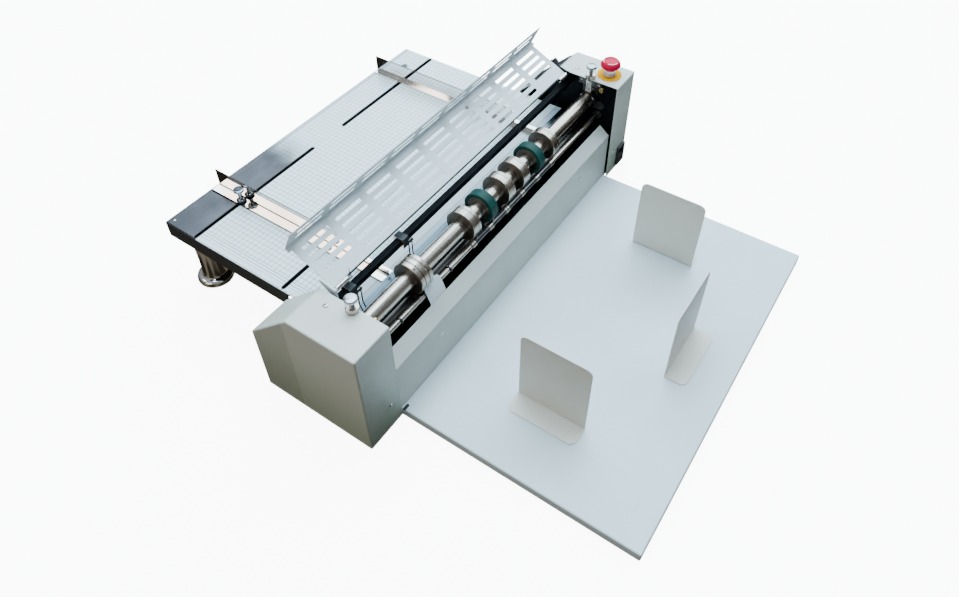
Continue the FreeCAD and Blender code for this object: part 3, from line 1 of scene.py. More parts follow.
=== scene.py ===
import json
import math
import bmesh
import bpy
from mathutils import Euler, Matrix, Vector


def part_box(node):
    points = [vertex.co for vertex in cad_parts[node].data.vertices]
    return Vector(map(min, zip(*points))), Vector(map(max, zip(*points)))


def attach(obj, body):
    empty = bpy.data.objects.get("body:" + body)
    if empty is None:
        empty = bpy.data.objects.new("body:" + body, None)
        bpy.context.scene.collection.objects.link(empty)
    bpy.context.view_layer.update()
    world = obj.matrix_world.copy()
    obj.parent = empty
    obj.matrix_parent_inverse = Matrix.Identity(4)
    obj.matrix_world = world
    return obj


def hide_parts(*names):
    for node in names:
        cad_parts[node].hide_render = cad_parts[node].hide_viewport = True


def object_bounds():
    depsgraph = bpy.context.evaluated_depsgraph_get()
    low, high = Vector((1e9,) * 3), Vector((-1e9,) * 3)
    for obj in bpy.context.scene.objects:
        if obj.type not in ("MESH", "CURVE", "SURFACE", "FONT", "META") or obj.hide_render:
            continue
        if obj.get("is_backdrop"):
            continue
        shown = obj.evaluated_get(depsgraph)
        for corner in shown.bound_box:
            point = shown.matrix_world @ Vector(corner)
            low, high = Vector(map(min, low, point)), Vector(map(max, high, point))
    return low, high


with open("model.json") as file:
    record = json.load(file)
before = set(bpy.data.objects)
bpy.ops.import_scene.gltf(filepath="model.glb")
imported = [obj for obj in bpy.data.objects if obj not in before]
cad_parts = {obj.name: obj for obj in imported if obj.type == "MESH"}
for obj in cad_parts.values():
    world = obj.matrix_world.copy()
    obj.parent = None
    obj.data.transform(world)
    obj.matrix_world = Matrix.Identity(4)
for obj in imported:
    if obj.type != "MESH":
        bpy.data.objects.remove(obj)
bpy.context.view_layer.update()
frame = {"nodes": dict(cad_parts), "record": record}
SLOTS = {item["node"]: item["material_slot"] for item in frame["record"]["subparts"]}
BODIES = {node: body for body, nodes in frame["record"]["behaviour"]["bodies"].items() for node in nodes}

# Places in metres. HEAD is the depth of the roller mechanism's front plane.
HEAD = -0.05435
AXIS_Y, UPPER_Z = HEAD + 0.065, 0.193
DELIVERY_Y, DELIVERY_Z = HEAD + 0.042, 0.1592
HINGE_Y, HINGE_Z = HEAD + 0.1136, 0.2416
TABLE_Z = 0.154
TABLE_FRONT_Y, TABLE_REAR_Y = 0.0636, 0.4877
REAR_SLOT_Y, FRONT_SLOT_Y = HEAD + 0.465, HEAD + 0.250
SLOT_START, SLOT_END, SLOT_HALF = 0.0440, 0.3460, 0.0046
GUIDE_KNOB_X = {"left": -0.2355, "right": 0.2515}
CLAMP_X = {"left": -0.323, "right": -0.194}
STOP_PLACE = (0.3954, HEAD + 0.0378, 0.2435)

# Sizes that several pieces share. A bore clears the shaft it sits on.
SHAFT_RADIUS, SHAFT_BORE = 0.015, 0.01502
DELIVERY_RADIUS, DELIVERY_BORE = 0.0048, 0.00482
RING_RADIUS, COLLAR_RADIUS = 0.0305, 0.0303
RUBBER_BORE = 0.02402
SET_SCREW = 0.0021
MERGE = 0.00001

# Camera at the photograph's place
camera = bpy.data.objects.new("camera", bpy.data.cameras.new("camera"))
bpy.context.scene.collection.objects.link(camera)
camera.location = (-0.8482, -0.5632, 1.1333)
camera.rotation_euler = (math.radians(45.61), 0, math.radians(-56.21))
camera.data.lens = 28.93
camera.data.sensor_width = 36
camera.data.shift_x = -0.0147
camera.data.shift_y = -0.0812
bpy.context.scene.camera = camera


# Finishes
class Finish:
    """A surface whose pattern is built from noises and steps in the object's own metres."""

    def __init__(self, name, colour, rough, metal=0.0):
        self.material = bpy.data.materials.new(name)
        self.material.use_nodes = True
        self.nodes = self.material.node_tree.nodes
        self.links = self.material.node_tree.links
        self.shader = self.nodes["Principled BSDF"]
        self.shader.inputs["Base Color"].default_value = (*colour, 1)
        self.shader.inputs["Roughness"].default_value = rough
        self.shader.inputs["Metallic"].default_value = metal
        self.place = self.nodes.new("ShaderNodeTexCoord").outputs["Object"]
        self.normal = None

    def set(self, socket, value):
        self.shader.inputs[socket].default_value = value
        return self

    def drive(self, socket, value):
        self.links.new(value, self.shader.inputs[socket])
        return self

    def fill(self, sockets, values):
        for socket, value in zip(sockets, values):
            if isinstance(value, tuple):
                socket.default_value = (*value, 1)
            elif isinstance(value, (int, float)):
                socket.default_value = value
            elif value is not None:
                self.links.new(value, socket)

    def noise(self, scale, detail=3.0, stretch=None):
        place = self.place
        if stretch:
            mapping = self.nodes.new("ShaderNodeMapping")
            mapping.inputs["Scale"].default_value = stretch
            self.links.new(place, mapping.inputs["Vector"])
            place = mapping.outputs["Vector"]
        node = self.nodes.new("ShaderNodeTexNoise")
        node.inputs["Scale"].default_value = scale
        node.inputs["Detail"].default_value = detail
        self.links.new(place, node.inputs["Vector"])
        return node.outputs["Fac"]

    def math(self, kind, first, second=None):
        node = self.nodes.new("ShaderNodeMath")
        node.operation = kind
        self.fill(node.inputs, (first, second))
        return node.outputs[0]

    def both(self, first, *others):
        """Product of factors."""
        for other in others:
            first = self.math("MULTIPLY", first, other)
        return first

    def either(self, first, *others):
        """Largest of factors."""
        for other in others:
            first = self.math("MAXIMUM", first, other)
        return first

    def span(self, value, low, high, start=0.0, end=1.0):
        """Smooth step from start to end while the value goes from low to high."""
        node = self.nodes.new("ShaderNodeMapRange")
        node.interpolation_type = "SMOOTHSTEP"
        self.fill(node.inputs, (value, low, high, start, end))
        return node.outputs["Result"]

    def axis(self, letter):
        node = self.nodes.new("ShaderNodeSeparateXYZ")
        self.links.new(self.place, node.inputs[0])
        return node.outputs[letter]

    def blend(self, factor, first, second):
        node = self.nodes.new("ShaderNodeMix")
        node.data_type = "RGBA"
        self.fill((node.inputs[0], node.inputs[6], node.inputs[7]), (factor, first, second))
        return node.outputs[2]

    def inside(self, value, low, high):
        """One where the value lies between low and high."""
        return self.both(self.math("GREATER_THAN", value, low), self.math("LESS_THAN", value, high))

    def stripes(self, value, pitch, width):
        """One on printed lines of this width, at every pitch, and nought between them."""
        saw = self.math("FRACT", self.math("DIVIDE", self.math("ADD", value, 10 + width / 2), pitch))
        return self.math("LESS_THAN", saw, width / pitch)

    def bump(self, value, depth, strength=1.0):
        node = self.nodes.new("ShaderNodeBump")
        node.inputs["Strength"].default_value = strength
        node.inputs["Distance"].default_value = depth
        self.links.new(value, node.inputs["Height"])
        if self.normal:
            self.links.new(self.normal, node.inputs["Normal"])
        self.normal = node.outputs["Normal"]
        return self.drive("Normal", self.normal)


def shade(colour, factor):
    """A colour made darker or lighter."""
    return tuple(min(1.0, part * factor) for part in colour)


def powder_coat(name, colour, rough=0.42, grain=0.00005, painted_shade_tint=None, specular=0.4):
    """Grained paint. Given a tint, it carries painted shade: darker and greener toward the floor, and darker
    on the rear slope and the left front.
    """
    finish = Finish(name, colour, rough)
    cloud = finish.span(finish.noise(6, 4), 0.3, 0.7)
    paint = finish.blend(cloud, shade(colour, 0.97), shade(colour, 1.02))
    if painted_shade_tint:
        # Painted shade: darker and greener toward the floor, then darker on the rear slope and on the left
        # front
        paint = finish.blend(finish.span(finish.axis("Z"), 0.0, 0.19, 0.75, 0.0), paint, painted_shade_tint)
        y = finish.axis("Y")
        rear = finish.both(finish.span(y, 0.0885, 0.0925), 0.22)
        left = finish.span(finish.axis("X"), -0.3, -0.34, 0.0, 0.3)
        front = finish.both(finish.span(y, -0.0518, -0.0538), left)
        paint = finish.blend(finish.either(rear, front), paint, shade(colour, 0.2))
    finish.set("Specular IOR Level", specular)
    finish.drive("Base Color", paint)
    finish.drive("Roughness", finish.span(finish.noise(35, 3), 0.3, 0.7, rough - 0.05, rough + 0.07))
    finish.bump(finish.noise(1500, 2), grain, 0.5)
    finish.bump(finish.noise(260, 2), grain * 2, 0.25)
    return finish.material


def turned_metal(name, colour, rough=0.2, along=(700, 6, 6)):
    """Bare metal whose roughness has fine rings across the stretched axis."""
    finish = Finish(name, colour, rough, 1.0)
    cut = finish.noise(1.0, 0, along)
    cloud = finish.span(finish.noise(1.0, 2, (7, 40, 40)), 0.3, 0.7)
    finish.drive("Base Color", finish.blend(cloud, shade(colour, 0.86), shade(colour, 1.06)))
    wear = finish.span(cloud, 0, 1, rough - 0.012, rough + 0.02)
    finish.drive("Roughness", finish.math("ADD", finish.span(cut, 0.3, 0.7, 0.0, 0.008), wear))
    return finish.material


def polished_sheet(name, colour, rough, smear):
    """Polished metal with faint scratches and a slow wave."""
    finish = Finish(name, colour, rough, 1.0)
    scratch = finish.noise(1.0, 5, (60, 14, 700))
    cloud = finish.span(finish.noise(14, 5), 0.35, 0.7)
    finish.drive("Base Color", finish.blend(cloud, shade(colour, 0.92), shade(colour, 1.04)))
    finish.drive("Roughness", finish.span(cloud, 0.0, 1.0, rough, rough + smear))
    finish.bump(scratch, 0.000006, 0.3)
    finish.bump(finish.noise(5, 2), 0.0004, 0.2)
    return finish.material


def moulded(name, colour, rough, grain=0.00004, coat=0.0, specular=0.5):
    """Moulded plastic, with a clear coat where coat is given."""
    finish = Finish(name, colour, rough)
    finish.set("Specular IOR Level", specular)
    finish.drive("Roughness", finish.span(finish.noise(60, 3), 0.3, 0.7, rough - 0.04, rough + 0.06))
    finish.drive("Base Color", finish.blend(finish.noise(18, 3), shade(colour, 0.9), shade(colour, 1.12)))
    finish.bump(finish.noise(1100, 2), grain, 0.5)
    if coat:
        finish.set("Coat Weight", coat)
        finish.set("Coat Roughness", 0.06)
    return finish.material


def rubber(name, colour):
    """Dull rubber with worn patches."""
    finish = Finish(name, colour, 0.6)
    finish.set("Specular IOR Level", 0.2)
    wear = finish.span(finish.noise(45, 5), 0.4, 0.75)
    finish.drive("Base Color", finish.blend(wear, shade(colour, 0.85), shade(colour, 1.3)))
    finish.drive("Roughness", finish.span(wear, 0, 1, 0.5, 0.72))
    finish.bump(finish.noise(700, 4), 0.00012, 0.6)
    return finish.material


INK = (0.07, 0.09, 0.11)
PAPER = (0.70, 0.80, 0.86)
GRID_PITCH, GRID_LINE = 0.01, 0.0011
SHEET_LEFT, GRID_LEFT, GRID_FRONT, FRONT_BAND = -0.348, -0.3265, 0.1135, 0.0760
SHEET_REAR, SKIRT_TOP, REAR_MARGIN = 0.4062, 0.1528, -0.012


def grid_lines(finish):
    """Ten millimetre grid, as a factor."""
    across = finish.stripes(finish.math("ADD", finish.axis("X"), 0.002), GRID_PITCH, GRID_LINE)
    along = finish.stripes(finish.math("ADD", finish.axis("Y"), 0.00365), GRID_PITCH, GRID_LINE)
    return finish.both(finish.either(across, along), 0.8)


def painted_slot_shade(finish, x, y):
    """One over the table's four slots, which are painted black as shade."""
    rows = [finish.inside(finish.math("SUBTRACT", y, row), -SLOT_HALF, SLOT_HALF)
            for row in (REAR_SLOT_Y, FRONT_SLOT_Y)]
    return finish.both(finish.inside(finish.math("ABSOLUTE", x), SLOT_START, SLOT_END), finish.either(*rows))


def printed_sheet(name):
    """Pale glossy sheet with a grid, and a ruler and three lines along its left margin. Its slots are painted
    black as shade.
    """
    finish = Finish(name, PAPER, 0.3)
    x = finish.axis("X")
    y = finish.axis("Y")
    field_start = (finish.math("GREATER_THAN", x, GRID_LEFT), finish.math("GREATER_THAN", y, GRID_FRONT))
    field = finish.both(grid_lines(finish), *field_start)
    edge = finish.math("SUBTRACT", x, SHEET_LEFT)
    lines = finish.both(finish.stripes(finish.math("SUBTRACT", edge, 0.0095), 0.0058, 0.0014),
                        finish.inside(edge, 0.0085, 0.0219))
    ticks = finish.both(finish.stripes(y, 0.002, 0.0004), finish.inside(edge, 0.0042, 0.0055))
    long_ticks = finish.both(finish.stripes(y, 0.01, 0.0005), finish.inside(edge, 0.0042, 0.0068))
    margin = finish.math("LESS_THAN", edge, 0.021)
    marks = finish.both(finish.either(lines, ticks, long_ticks), margin, 0.9)
    front_line = finish.both(finish.inside(y, 0.0748, FRONT_BAND), 0.7)
    paper = finish.blend(finish.math("LESS_THAN", y, FRONT_BAND), PAPER, (0.50, 0.64, 0.74))
    printed = finish.blend(finish.either(field, marks, front_line), paper, INK)
    # The slots are painted near black as shade
    finish.drive("Base Color", finish.blend(painted_slot_shade(finish, x, y), printed, (0.004, 0.006, 0.005)))
    finish.drive("Roughness", finish.span(finish.noise(25, 3), 0.3, 0.7, 0.24, 0.36))
    finish.bump(finish.noise(400, 2), 0.00002, 0.3)
    finish.set("Coat Weight", 0.4)
    finish.set("Coat Roughness", 0.12)
    return finish.material


def table_sheet(name):
    """Dark polished steel at the rear left, a pale ruled strip at the rear right, black skirts, and painted
    shade over the slots.
    """
    steel = (0.046, 0.046, 0.053)
    finish = Finish(name, steel, 0.2, 1.0)
    x = finish.axis("X")
    y = finish.axis("Y")
    streak = finish.span(finish.noise(1.0, 4, (25, 120, 25)), 0.25, 0.78)
    blotch = finish.span(finish.noise(7, 3), 0.3, 0.75)
    sheen = finish.math("ADD", finish.both(streak, 0.22), finish.both(blotch, 0.78))
    bare = finish.blend(sheen, shade(steel, 0.55), shade(steel, 2.2))
    rear = finish.math("SUBTRACT", y, TABLE_REAR_Y)
    strokes = finish.stripes(finish.math("ADD", x, 0.002), GRID_PITCH, 0.0008)
    ruler = finish.both(strokes, finish.inside(rear, -0.006, -0.002))
    border = finish.inside(rear, -0.0125, -0.0115)
    field = finish.both(grid_lines(finish), finish.math("LESS_THAN", rear, REAR_MARGIN))
    paper = finish.blend(finish.math("GREATER_THAN", rear, REAR_MARGIN), PAPER, (0.40, 0.46, 0.53))
    pale = finish.blend(finish.both(finish.either(ruler, border, field), 0.85), paper, INK)
    ragged = finish.math("ADD", x, finish.both(blotch, 0.05))
    fade = finish.either(finish.span(ragged, -0.11, 0.03), finish.math("LESS_THAN", y, SHEET_REAR))
    skirt = finish.math("LESS_THAN", finish.axis("Z"), SKIRT_TOP)
    # Dark holds the black skirts and the painted shade over the slots
    dark = finish.either(skirt, painted_slot_shade(finish, x, y))
    finish.drive("Base Color", finish.blend(dark, finish.blend(fade, bare, pale), (0.034, 0.034, 0.034)))
    bare_steel = (finish.math("SUBTRACT", 1.0, fade), finish.math("SUBTRACT", 1.0, dark))
    finish.drive("Metallic", finish.both(*bare_steel))
    polish = finish.span(streak, 0, 1, 0.2, 0.28)
    finish.drive("Roughness", finish.math("ADD", polish, finish.both(dark, 0.35)))
    finish.bump(streak, 0.000002, 0.3)
    return finish.material


def guide_mirror(name):
    """Polished chrome with painted shade: dark lines along its top edge, the foot's edge and its fold."""
    finish = Finish(name, (0.92, 0.88, 0.83), 0.04, 1.0)
    x = finish.math("ABSOLUTE", finish.math("SUBTRACT", finish.axis("X"), 0.008))
    z = finish.axis("Z")
    fold = finish.both(finish.inside(x, 0.2322, 0.2346), finish.math("LESS_THAN", z, 0.1585))
    # Painted shade along the foot's edge, the fold and the top edge
    line = finish.either(finish.math("GREATER_THAN", x, 0.2515), fold, finish.math("GREATER_THAN", z, 0.1921))
    cloud = finish.span(finish.noise(14, 4), 0.35, 0.7)
    chrome = finish.blend(cloud, (0.84, 0.80, 0.76), (0.95, 0.92, 0.88))
    finish.drive("Base Color", finish.blend(line, chrome, (0.03, 0.028, 0.026)))
    polish = finish.span(cloud, 0, 1, 0.03, 0.06)
    finish.drive("Roughness", finish.math("ADD", polish, finish.both(line, 0.3)))
    finish.bump(finish.noise(6, 2), 0.0003, 0.15)
    return finish.material


def infeed_steel(name):
    """Bluish polished steel with a painted reflection that fades to dark toward the rollers, and a ruler near
    its rear edge.
    """
    finish = Finish(name, (0.1, 0.12, 0.14), 0.2, 1.0)
    x = finish.axis("X")
    back = finish.math("SUBTRACT", finish.axis("Y"), TABLE_FRONT_Y)
    cloud = finish.both(finish.span(finish.noise(1.0, 3, (14, 60, 60)), 0.3, 0.7), 0.010)
    # Painted reflection: the base colour fades from bright at the rear edge to dark toward the rollers
    painted_reflection_fall = finish.span(finish.math("ADD", back, cloud), -0.024, 0.000)
    plate = finish.blend(painted_reflection_fall, (0.004, 0.004, 0.005), (0.075, 0.105, 0.135))
    ticks = finish.both(finish.stripes(x, 0.005, 0.0006), finish.inside(back, -0.0075, -0.0045))
    line = finish.inside(back, -0.0100, -0.0092)
    finish.drive("Base Color", finish.blend(finish.either(ticks, line), plate, (0.012, 0.014, 0.018)))
    finish.drive("Roughness", finish.span(finish.noise(20, 3), 0.3, 0.7, 0.16, 0.26))
    return finish.material


# One finish for each material slot of the record
FINISHES = {
    # The housing's tint is painted shade, low on it, on its rear slope and on its left front
    "housing_paint": powder_coat("housing_powder", (0.64, 0.655, 0.60), painted_shade_tint=(0.30, 0.37, 0.27)),
    "cover_paint": powder_coat("cover_powder", (0.47, 0.485, 0.46)),
    "tray_paint": powder_coat("tray_powder", (0.60, 0.69, 0.74), 0.38),
    "stop_paint": powder_coat("stop_powder", (0.70, 0.66, 0.60), 0.45),
    "guard_paint": powder_coat("guard_powder", (0.66, 0.72, 0.76), 0.36),
    "black_paint": powder_coat("black_powder", (0.0025, 0.004, 0.0055), 0.42, 0.00005, specular=0.07),
    "steel": turned_metal("turned_steel", (0.48, 0.42, 0.37), 0.24),
    "chrome": polished_sheet("polished_chrome", (0.90, 0.87, 0.82), 0.03, 0.03),
    "table_steel": table_sheet("table_steel"),
    "printed_film": printed_sheet("printed_grid"),
    "brass": turned_metal("brass", (0.80, 0.56, 0.20), 0.25),
    "green_rubber": rubber("green_rubber", (0.002, 0.042, 0.035)),
    "black_rubber": rubber("black_rubber", (0.02, 0.02, 0.02)),
    "red_plastic": moulded("red_plastic", (0.60, 0.001, 0.045), 0.25, 0.00001, 0.0, 0.12),
    "yellow_plastic": moulded("yellow_plastic", (0.80, 0.36, 0.001), 0.45, 0.00001, 0.0, 0.0),
    "black_plastic": moulded("black_plastic", (0.018, 0.018, 0.02), 0.4),
    "gloss_black": moulded("gloss_black", (0.012, 0.012, 0.014), 0.12, 0.00001, 0.8),
    "motor_paint": powder_coat("motor_powder", (0.05, 0.05, 0.055), 0.5, 0.0001),
    "green_plastic": moulded("green_plastic", (0.01, 0.30, 0.06), 0.3, 0.00002, 0.6),
    "cast_iron": turned_metal("gear_iron", (0.16, 0.15, 0.145), 0.42),
}

# Finishes of single pieces, or of some faces of a piece
DARK_STEEL = turned_metal("blackened_steel", (0.04, 0.04, 0.042), 0.3)
GREY_STEEL = turned_metal("ground_plate", (0.10, 0.10, 0.10), 0.32, (40, 700, 40))
BRIGHT_STEEL = turned_metal("milled_steel", (0.74, 0.71, 0.66), 0.22, (40, 700, 40))
GUIDE_CHROME = guide_mirror("guide_chrome")
# Ring end faces take a darker copy of the steel as painted shade
END_FACE_SHADE_STEEL = turned_metal("end_face_painted_shade", (0.20, 0.165, 0.135), 0.38)
# The lower shaft's parts take a darker copy of the steel as painted shade
LOWER_SHADE_STEEL = turned_metal("lower_steel_painted_shade", (0.10, 0.092, 0.085), 0.28)
SLATE = powder_coat("slate_clamp", (0.020, 0.026, 0.033), 0.35, 0.00003)
SATIN_STEEL = turned_metal("satin_steel", (0.38, 0.40, 0.43), 0.24)
# Near black painted shade for sockets, slot channels and the tray's notch
HOLLOW_SHADE = moulded("hollow_painted_shade", (0.004, 0.004, 0.005), 0.6)
WHITE_INK = moulded("white_marks", (0.80, 0.80, 0.80), 0.4)
SATIN_CAP = turned_metal("satin_cap", (0.05, 0.062, 0.082), 0.3)

REPLACED = set()


def finish_piece(name, mesh, slot_name, body, nodes=(), material=None, smooth=35):
    """Makes an object of a bmesh, gives it its finish and lets it ride on a body."""
    data = bpy.data.meshes.new(name)
    mesh.to_mesh(data)
    mesh.free()
    if "custom_normal" in data.attributes:
        data.attributes.remove(data.attributes["custom_normal"])
    data.materials.clear()
    data.materials.append(material or FINISHES[slot_name])
    piece = bpy.data.objects.new(name, data)
    bpy.context.scene.collection.objects.link(piece)
    data.shade_smooth()
    data.set_sharp_from_angle(angle=math.radians(smooth))
    if nodes:
        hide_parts(*nodes)
        REPLACED.update(nodes)
    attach(piece, body)
    return piece


def broken_edges(piece, edge):
    """Bevels a piece's sharp edges and keeps its flat faces evenly lit."""
    bevel = piece.modifiers.new("broken_edges", "BEVEL")
    bevel.width = edge
    bevel.segments = 2
    bevel.limit_method = "ANGLE"
    bevel.angle_limit = math.radians(40)
    bevel.use_clamp_overlap = True
    even = piece.modifiers.new("even_faces", "WEIGHTED_NORMAL")
    even.keep_sharp = True
    return piece


def dressed(node, edge=0.0004, regions=None, materials=(), material=None, rounded=0.0):
    """A CAD node's own form with its sharp edges broken.

    Regions tells which finish a face has, from its centre and normal: 0 is the piece's own, and 1 and up
    are those in materials. Rounded bevels the long edges of a folded sheet first.
    """
    mesh = bmesh.new()
    mesh.from_mesh(frame["nodes"][node].data)
    bmesh.ops.remove_doubles(mesh, verts=mesh.verts, dist=MERGE)
    bmesh.ops.dissolve_limit(mesh, angle_limit=math.radians(0.5), verts=mesh.verts, edges=mesh.edges)
    if rounded:
        long_edges = [line for line in mesh.edges if line.calc_length() > 0.03 and line.is_manifold
                      and line.calc_face_angle(0) > 0.3]
        bmesh.ops.bevel(mesh, geom=long_edges, offset=rounded, segments=4, profile=0.5, affect="EDGES",
                        material=-1, clamp_overlap=True)
    bmesh.ops.triangulate(mesh, faces=[face for face in mesh.faces if len(face.verts) > 4])
    mesh.faces.ensure_lookup_table()
    kinds = [regions(face.calc_center_median(), face.normal) if regions else 0 for face in mesh.faces]
    piece = finish_piece(node + "_dressed", mesh, SLOTS[node], BODIES[node], (node,), material)
    for other in materials:
        piece.data.materials.append(other)
    for face, kind in zip(piece.data.polygons, kinds):
        face.material_index = kind
    return broken_edges(piece, edge) if edge else piece


# Stage: a plain pale floor and backdrop that light nothing, and a dim studio around the object
def stage_piece(name, mesh, colour, glow):
    """A pale surface that only the camera sees."""
    data = bpy.data.meshes.new(name)
    mesh.to_mesh(data)
    mesh.free()
    piece = bpy.data.objects.new(name, data)
    bpy.context.scene.collection.objects.link(piece)
    finish = Finish(name + "_finish", colour, 0.9)
    finish.set("Specular IOR Level", 0.0)
    finish.set("Emission Color", (1, 1, 1, 1))
    finish.set("Emission Strength", glow)
    data.materials.append(finish.material)
    piece.visible_diffuse = False
    piece.visible_glossy = False
    piece.visible_shadow = False
    piece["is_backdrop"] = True
    return piece


ground = bmesh.new()
bmesh.ops.create_grid(ground, x_segments=1, y_segments=1, size=40)
stage_piece("floor", ground, (0.8, 0.8, 0.8), 9.0).location.z = -0.0005
shell = bmesh.new()
bmesh.ops.create_icosphere(shell, subdivisions=4, radius=38)
stage_piece("backdrop", shell, (0.0, 0.0, 0.0), 12.0)

world = bpy.data.worlds.new("studio")
bpy.context.scene.world = world
world.use_nodes = True
sky = world.node_tree.nodes
sky_links = world.node_tree.links


def sky_range(value, limits, smooth=False):
    """Maps a value of the studio's sky. Limits are from, to and what they become."""
    node = sky.new("ShaderNodeMapRange")
    node.interpolation_type = "SMOOTHSTEP" if smooth else "LINEAR"
    for socket, limit in zip(("From Min", "From Max", "To Min", "To Max"), limits):
        node.inputs[socket].default_value = limit
    sky_links.new(value, node.inputs["Value"])
    return node.outputs["Result"]


# The studio is bluish above and brown below, and its lower half is mottled by slow patches.
where = sky.new("ShaderNodeTexCoord").outputs["Generated"]
parts = sky.new("ShaderNodeSeparateXYZ")
sky_links.new(where, parts.inputs[0])
height = parts.outputs["Z"]
ramp = sky.new("ShaderNodeValToRGB")
sky_links.new(sky_range(height, (-1, 1, 0, 1)), ramp.inputs["Fac"])
steps = ((0.0, (0.065, 0.060, 0.045)), (0.47, (0.10, 0.09, 0.07)),
         (0.55, (0.17, 0.155, 0.13)), (1.0, (0.40, 0.49, 0.58)))
for number, (place, colour) in enumerate(steps):
    stop = ramp.color_ramp.elements[number] if number < 2 else ramp.color_ramp.elements.new(place)
    stop.position = place
    stop.color = (*colour, 1)
patches = sky.new("ShaderNodeTexNoise")
patches.inputs["Scale"].default_value = 1.4
patches.inputs["Detail"].default_value = 0.0
sky_links.new(where, patches.inputs["Vector"])
mottled = sky.new("ShaderNodeVectorMath")
mottled.operation = "SCALE"
sky_links.new(ramp.outputs["Color"], mottled.inputs[0])
sky_links.new(sky_range(patches.outputs["Fac"], (0.42, 0.60, 0.25, 2.4), True), mottled.inputs["Scale"])
mixed = sky.new("ShaderNodeMix")
mixed.data_type = "RGBA"
sky_links.new(sky_range(height, (-0.25, 0.05, 1.0, 0.0)), mixed.inputs[0])
sky_links.new(ramp.outputs["Color"], mixed.inputs[6])
sky_links.new(mottled.outputs["Vector"], mixed.inputs[7])
sky_links.new(mixed.outputs[2], sky["Background"].inputs["Color"])


def soft_light(name, where, aim, size, radiance, colour):
    """A rectangular light of this radiance, aimed at a place and hidden from the camera."""
    data = bpy.data.lights.new(name, "AREA")
    data.shape = "RECTANGLE"
    data.size, data.size_y = size
    data.energy = radiance * math.pi * size[0] * size[1]
    data.color = colour
    lamp = bpy.data.objects.new(name, data)
    bpy.context.scene.collection.objects.link(lamp)
    lamp.location = where
    lamp.rotation_euler = (Vector(aim) - Vector(where)).to_track_quat("-Z", "Y").to_euler()
    lamp.visible_camera = False


# The guide card is what the left side guide's polished face mirrors.
soft_light("ceiling_light", (0.5, 0.7, 4.8), (0, 0.1, 0.1), (3.6, 3.6), 9.8, (0.68, 0.89, 1.0))
soft_light("window_light", (5.2, 1.7, 4.4), (0, 0.3, 0.1), (12.0, 5.0), 6.6, (0.70, 0.90, 1.0))
soft_light("guide_card", (-2.5, 3.25, 3.6), (-0.224, 0.27, 0.17), (1.5, 1.1), 5.2, (1.0, 0.92, 0.84))
soft_light("left_fill", (-4.2, 0.5, 1.6), (0, 0, 0.15), (2.4, 2.0), 1.9, (1.0, 0.93, 0.66))

# Shapes. A turned form lies along the X axis, and UP stands it upright.
UP = (0, -math.pi / 2, 0)


def turned_form(points, closed=False, steps=72):
    """A body turned about the X axis, from points that hold a distance along it and a radius."""
    mesh = bmesh.new()
    verts = [mesh.verts.new((along, 0, radius)) for along, radius in points]
    for first, second in zip(verts, verts[1:] + verts[:1] if closed else verts[1:]):
        mesh.edges.new((first, second))
    bmesh.ops.spin(mesh, geom=mesh.verts[:] + mesh.edges[:], cent=(0, 0, 0), axis=(1, 0, 0),
                   angle=math.tau, steps=steps, use_merge=True)
    bmesh.ops.remove_doubles(mesh, verts=mesh.verts, dist=MERGE)
    bmesh.ops.recalc_face_normals(mesh, faces=mesh.faces)
    return mesh


def turn(mesh, angles):
    """Turns a bmesh about the zero point."""
    bmesh.ops.rotate(mesh, verts=mesh.verts, cent=(0, 0, 0), matrix=Euler(angles).to_matrix())
    return mesh


def move(mesh, where, angles=None):
    """Turns a bmesh if angles are given, and then moves it."""
    if angles:
        turn(mesh, angles)
    bmesh.ops.translate(mesh, verts=mesh.verts, vec=where)
    return mesh


def add(mesh, other):
    """Puts another bmesh into this one."""
    data = bpy.data.meshes.new("joined")
    other.to_mesh(data)
    other.free()
    mesh.from_mesh(data)
    bpy.data.meshes.remove(data)
    return mesh


def block_form(low, high, edge=0.0):
    """A box between two corners, with its edges broken where edge is given."""
    mesh = bmesh.new()
    bmesh.ops.create_cube(mesh, size=1)
    bmesh.ops.scale(mesh, verts=mesh.verts, vec=[b - a for a, b in zip(low, high)])
    bmesh.ops.translate(mesh, verts=mesh.verts, vec=[(a + b) / 2 for a, b in zip(low, high)])
    if edge:
        bmesh.ops.bevel(mesh, geom=mesh.edges[:], offset=edge, segments=2, profile=0.5,
                        affect="EDGES", material=-1, clamp_overlap=True)
    return mesh


def sheet_form(points, thickness, path=(1, 0, 0)):
    """A flat sheet cut along points, with a thickness along its path."""
    mesh = bmesh.new()
    face = mesh.faces.new([mesh.verts.new(point) for point in points])
    made = bmesh.ops.extrude_face_region(mesh, geom=[face])
    verts = [part for part in made["geom"] if isinstance(part, bmesh.types.BMVert)]
    bmesh.ops.translate(mesh, verts=verts, vec=Vector(path) * thickness)
    bmesh.ops.recalc_face_normals(mesh, faces=mesh.faces)
    return mesh


def coil_form(along, turns, pitch, radius, wire):
    """A wire wound about the X axis."""
    steps, sides = 20, 8
    mesh = bmesh.new()
    bmesh.ops.create_circle(mesh, cap_ends=False, segments=sides, radius=wire)
    bmesh.ops.rotate(mesh, verts=mesh.verts, cent=(0, 0, 0), matrix=Euler((0, math.pi / 2, 0)).to_matrix())
    bmesh.ops.translate(mesh, verts=mesh.verts, vec=(along, 0, radius))
    bmesh.ops.spin(mesh, geom=mesh.verts[:] + mesh.edges[:], cent=(0, 0, 0), axis=(1, 0, 0),
                   dvec=(pitch / steps, 0, 0), angle=math.tau * turns, steps=round(steps * turns))
    bmesh.ops.holes_fill(mesh, edges=mesh.edges, sides=sides)
    bmesh.ops.recalc_face_normals(mesh, faces=mesh.faces)
    return mesh


